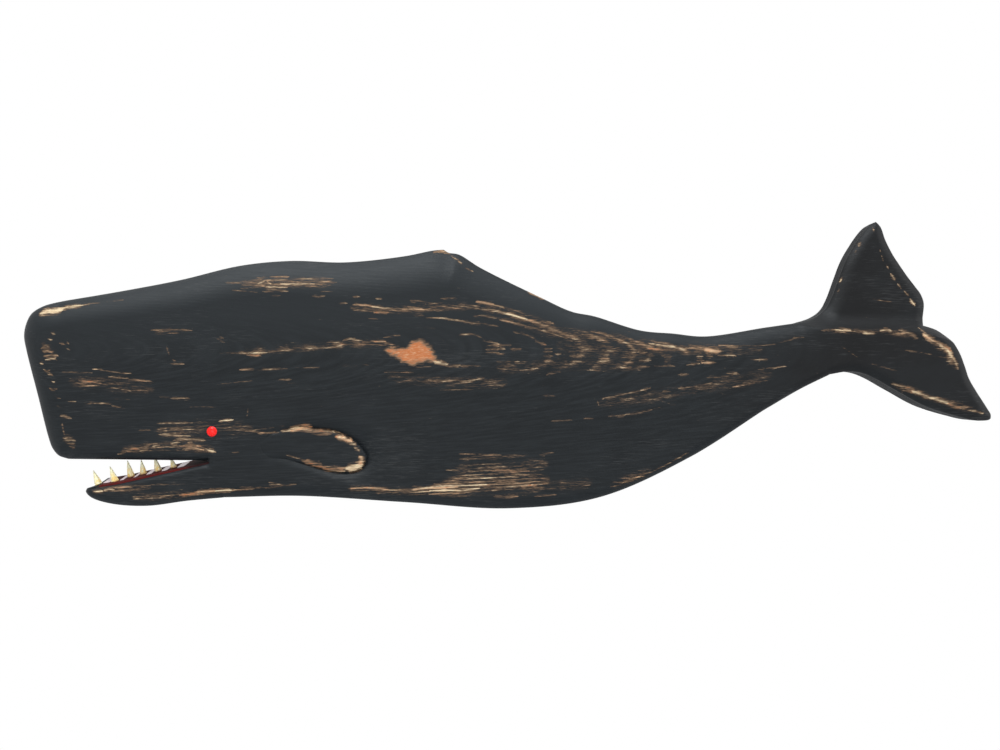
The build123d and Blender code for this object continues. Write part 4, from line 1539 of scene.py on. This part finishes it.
def red_enamel():
    """Glossy red enamel with a slight orange peel."""
    shader = Shader("red_enamel")
    peel = shader.noise(shader.position(), PEEL_LENGTHS)
    colour = shader.mix(shader.step(peel, *BRIGHT_PEEL), ENAMEL, ENAMEL_BRIGHT)
    shader.set(Base_Color=colour, Roughness=shader.step(peel, *ENAMEL_ROUGHNESS))
    shader.set(Normal=shader.bump(peel, PEEL_RELIEF), Specular_IOR_Level=ENAMEL_SPECULAR)
    return shader.material


def zinc(name, roughness):
    """Zinc-plated steel with cloudy passivation and fine scratches."""
    shader = Shader(name)
    place = shader.position()
    cloud = shader.noise(place, ZINC_CLOUD_LENGTHS, detail=4.0)
    scratch = shader.noise(place, SCRATCH_LENGTHS)
    colour = shader.mix(shader.step(cloud, *YELLOWISH_CLOUDS), ZINC_BLUISH, ZINC_YELLOWISH)
    shader.set(Base_Color=colour, Metallic=1.0, Roughness=shader.step(cloud, *roughness))
    shader.set(Normal=shader.bump(scratch, SCRATCH_RELIEF))
    return shader.material


# Teeth and eye

def jaw_place(along_share, depth):
    """A place on the red upper face of the jaw."""
    line_start, line_end = STRETCHES["jaw_line"][2][1], STRETCHES["jaw_line"][2][-1]
    slope = (line_end[1] - line_start[1]) / (line_end[0] - line_start[0])
    up_share = line_start[1] + slope * (along_share - line_start[0])
    x, z = on_board((along_share, up_share))
    rise = MOUTH_TILT_RISE * (1 - depth / BOARD_THICKNESS)
    return Vector((x, -depth, z + rise))


def whittling(number, angle, level):
    """The share of its radius that the knife leaves a tooth at an angle and a level."""
    x, y = KNIFE_CUT_TURN * math.cos(angle), KNIFE_CUT_TURN * math.sin(angle)
    cut = noise.noise((x, y + KNIFE_CUT_SHIFT * number, level * KNIFE_CUT_RISE))
    return 1 + FACET_SHARE * math.cos(TOOTH_FACETS * angle + number) + KNIFE_CUT_SHARE * cut


def whittled_tooth(number):
    """A leaning, faceted peg that narrows to a sharp point."""
    radius = TOOTH_DIAMETERS[number] / 2
    height = TOOTH_HEIGHTS[number]
    place = jaw_place(TOOTH_ALONG_SHARES[number], BOARD_THICKNESS - TOOTH_INSETS[number])
    lean = Matrix.Rotation(math.radians(-TOOTH_LEANS[number]), 4, "Y")
    parts = MeshParts()
    vertices, along, around = [], [], []
    for ring in range(TOOTH_RINGS + 1):
        level = -TOOTH_BURIED + (height + TOOTH_BURIED) * ring / TOOTH_RINGS
        taper = min(1.0, max(0.0, 1 - level / height))
        width = radius * (TOOTH_TIP_SHARE + (1 - TOOTH_TIP_SHARE) * taper ** TOOTH_TAPER_POWER)
        hook = TOOTH_HOOK * (1 - taper) ** 2
        for side in range(TOOTH_SIDES):
            angle = 2 * math.pi * side / TOOTH_SIDES
            spread = width * whittling(number, angle, level)
            across = TOOTH_FLATNESS * spread * math.sin(angle)
            local = Vector((spread * math.cos(angle) - hook, across, level))
            vertices.append((lean @ local + place) * MM)
            along.append(max(0.0, level / height))
            around.append(side / TOOTH_SIDES)
    for ring in range(TOOTH_RINGS):
        parts.strip(ring * TOOTH_SIDES, (ring + 1) * TOOTH_SIDES, TOOTH_SIDES)
    foot, tip = range(TOOTH_SIDES), range(TOOTH_RINGS * TOOTH_SIDES, len(vertices))
    name = f"whittled_tooth_{number + 1}"
    mesh = bpy.data.meshes.new(name)
    mesh.from_pydata(vertices, [], parts.faces + [tuple(reversed(foot)), tuple(tip)])
    set_values(mesh, "along", along)
    set_values(mesh, "around", around)
    mesh.shade_smooth()
    return add_to_scene(name, mesh)


def dress(piece, material, slot, *nodes):
    """Give a piece its material and its place in the frame. The slot is not used."""
    piece.data.materials.clear()
    piece.data.materials.append(material)
    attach(piece, "root")
    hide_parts(*nodes)


def build_object():
    """Every piece of the plaque with its material."""
    dress(body_mesh(), PaintedPine().material, "painted_pine", "carved_body")
    tooth_wood = whittled_wood()
    for number in range(len(TOOTH_ALONG_SHARES)):
        dress(whittled_tooth(number), tooth_wood, "bare_wood", f"tooth_{number + 1}")
    finishes = {
        "eye_tack": red_enamel(),
        "hanger_plate": zinc("zinc_plate", PLATE_ROUGHNESS),
        "hanger_screw": zinc("zinc_screw", SCREW_ROUGHNESS),
    }
    for node_name, node in frame["nodes"].items():
        for start, material in finishes.items():
            if node_name.startswith(start):
                node.data.materials.clear()
                node.data.materials.append(material)


# Floor, light and camera, in metres

FLOOR_REACH = 1.15
FLOOR_BACK = 0.45
FLOOR_DROP = 0.56
NEAREST_SEEN = 0.01

# Each lamp's place, target, size, power and colour
LAMPS = {
    "key": ((-0.5, -0.95, 1.3), (-0.1, 0, 0), (1.2, 0.7), 17, (0.92, 0.97, 1.0)),
    "top": ((-0.1, -0.25, 1.3), (0, -0.03, 0), (1.8, 0.5), 8.2, (0.90, 0.96, 1.0)),
    "fill": ((1.7, -0.7, 0.5), (0.2, 0, 0), (1.0, 1.0), 5, (1, 1, 1)),
}

# Light of the world on the object: from all around, and in addition on its front and back
ROUND_FILL = 0.38
FACE_FILL = 3.5
FACE_FILL_SPAN = (0.86, 0.97)


def floor():
    """A pale floor below the plaque."""
    mesh = bpy.data.meshes.new("floor")
    left, right, front = -FLOOR_REACH, FLOOR_REACH, -FLOOR_REACH
    corners = ((left, front), (right, front), (right, FLOOR_BACK), (left, FLOOR_BACK))
    mesh.from_pydata([(x, y, -FLOOR_DROP) for x, y in corners], [], [(0, 1, 2, 3)])
    shader = Shader("pale_floor")
    shader.set(Base_Color=FLOOR_GREY, Roughness=FLOOR_ROUGHNESS)
    mesh.materials.append(shader.material)
    plane = add_to_scene("floor", mesh)
    plane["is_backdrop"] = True


def area_light(name, place, target, size, power, colour):
    """A rectangular lamp that shines from its place to its target."""
    data = bpy.data.lights.new(name, "AREA")
    data.shape = "RECTANGLE"
    data.size, data.size_y = size
    data.energy = power
    data.color = colour
    lamp = add_to_scene(name, data)
    lamp.location = place
    lamp.rotation_euler = (Vector(target) - Vector(place)).to_track_quat("-Z", "Y").to_euler()


def world():
    """White to the camera and in reflections. For all other light a soft fill, strongest on
    the board's front and back."""
    data = bpy.data.worlds.new("studio")
    data.use_nodes = True
    nodes = Nodes(data.node_tree)
    path = nodes.tree.nodes.new("ShaderNodeLightPath").outputs
    seen = nodes.sum("MAXIMUM", path["Is Camera Ray"], path["Is Transmission Ray"])
    seen = nodes.sum("MAXIMUM", seen, path["Is Glossy Ray"])
    depth = nodes.sum("ABSOLUTE", nodes.texture_place("Generated")[1])
    fill = nodes.sum("MULTIPLY_ADD", nodes.step(depth, *FACE_FILL_SPAN), FACE_FILL, ROUND_FILL)
    unseen = nodes.sum("SUBTRACT", 1.0, seen)
    shine = nodes.tree.nodes["Background"].inputs
    nodes.put(shine["Strength"], nodes.sum("MULTIPLY_ADD", unseen, fill, seen))
    nodes.put(shine["Color"], nodes.mix(seen, FILL_BLUE, WHITE))
    bpy.context.scene.world = data


def camera():
    """The camera of the photo, level and square to the board."""
    data = bpy.data.cameras.new("camera")
    data.sensor_width = SENSOR_WIDTH
    data.lens = FOCAL_PIXELS * SENSOR_WIDTH / IMAGE_WIDTH
    data.clip_start = NEAREST_SEEN
    seat = add_to_scene("camera", data)
    seat.location = (CAMERA_X * MM, -(BOARD_THICKNESS + CAMERA_TO_FACE) * MM, CAMERA_Z * MM)
    seat.rotation_euler = (math.radians(90), 0, 0)
    bpy.context.scene.camera = seat


build_object()
floor()
world()
for lamp_name, settings in LAMPS.items():
    area_light(lamp_name, *settings)
camera()
bpy.context.scene.view_settings.view_transform = "Standard"

boxes = {"cad": cad_box, "visual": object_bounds()}
{name: [list(corner) for corner in box] for name, box in boxes.items()}
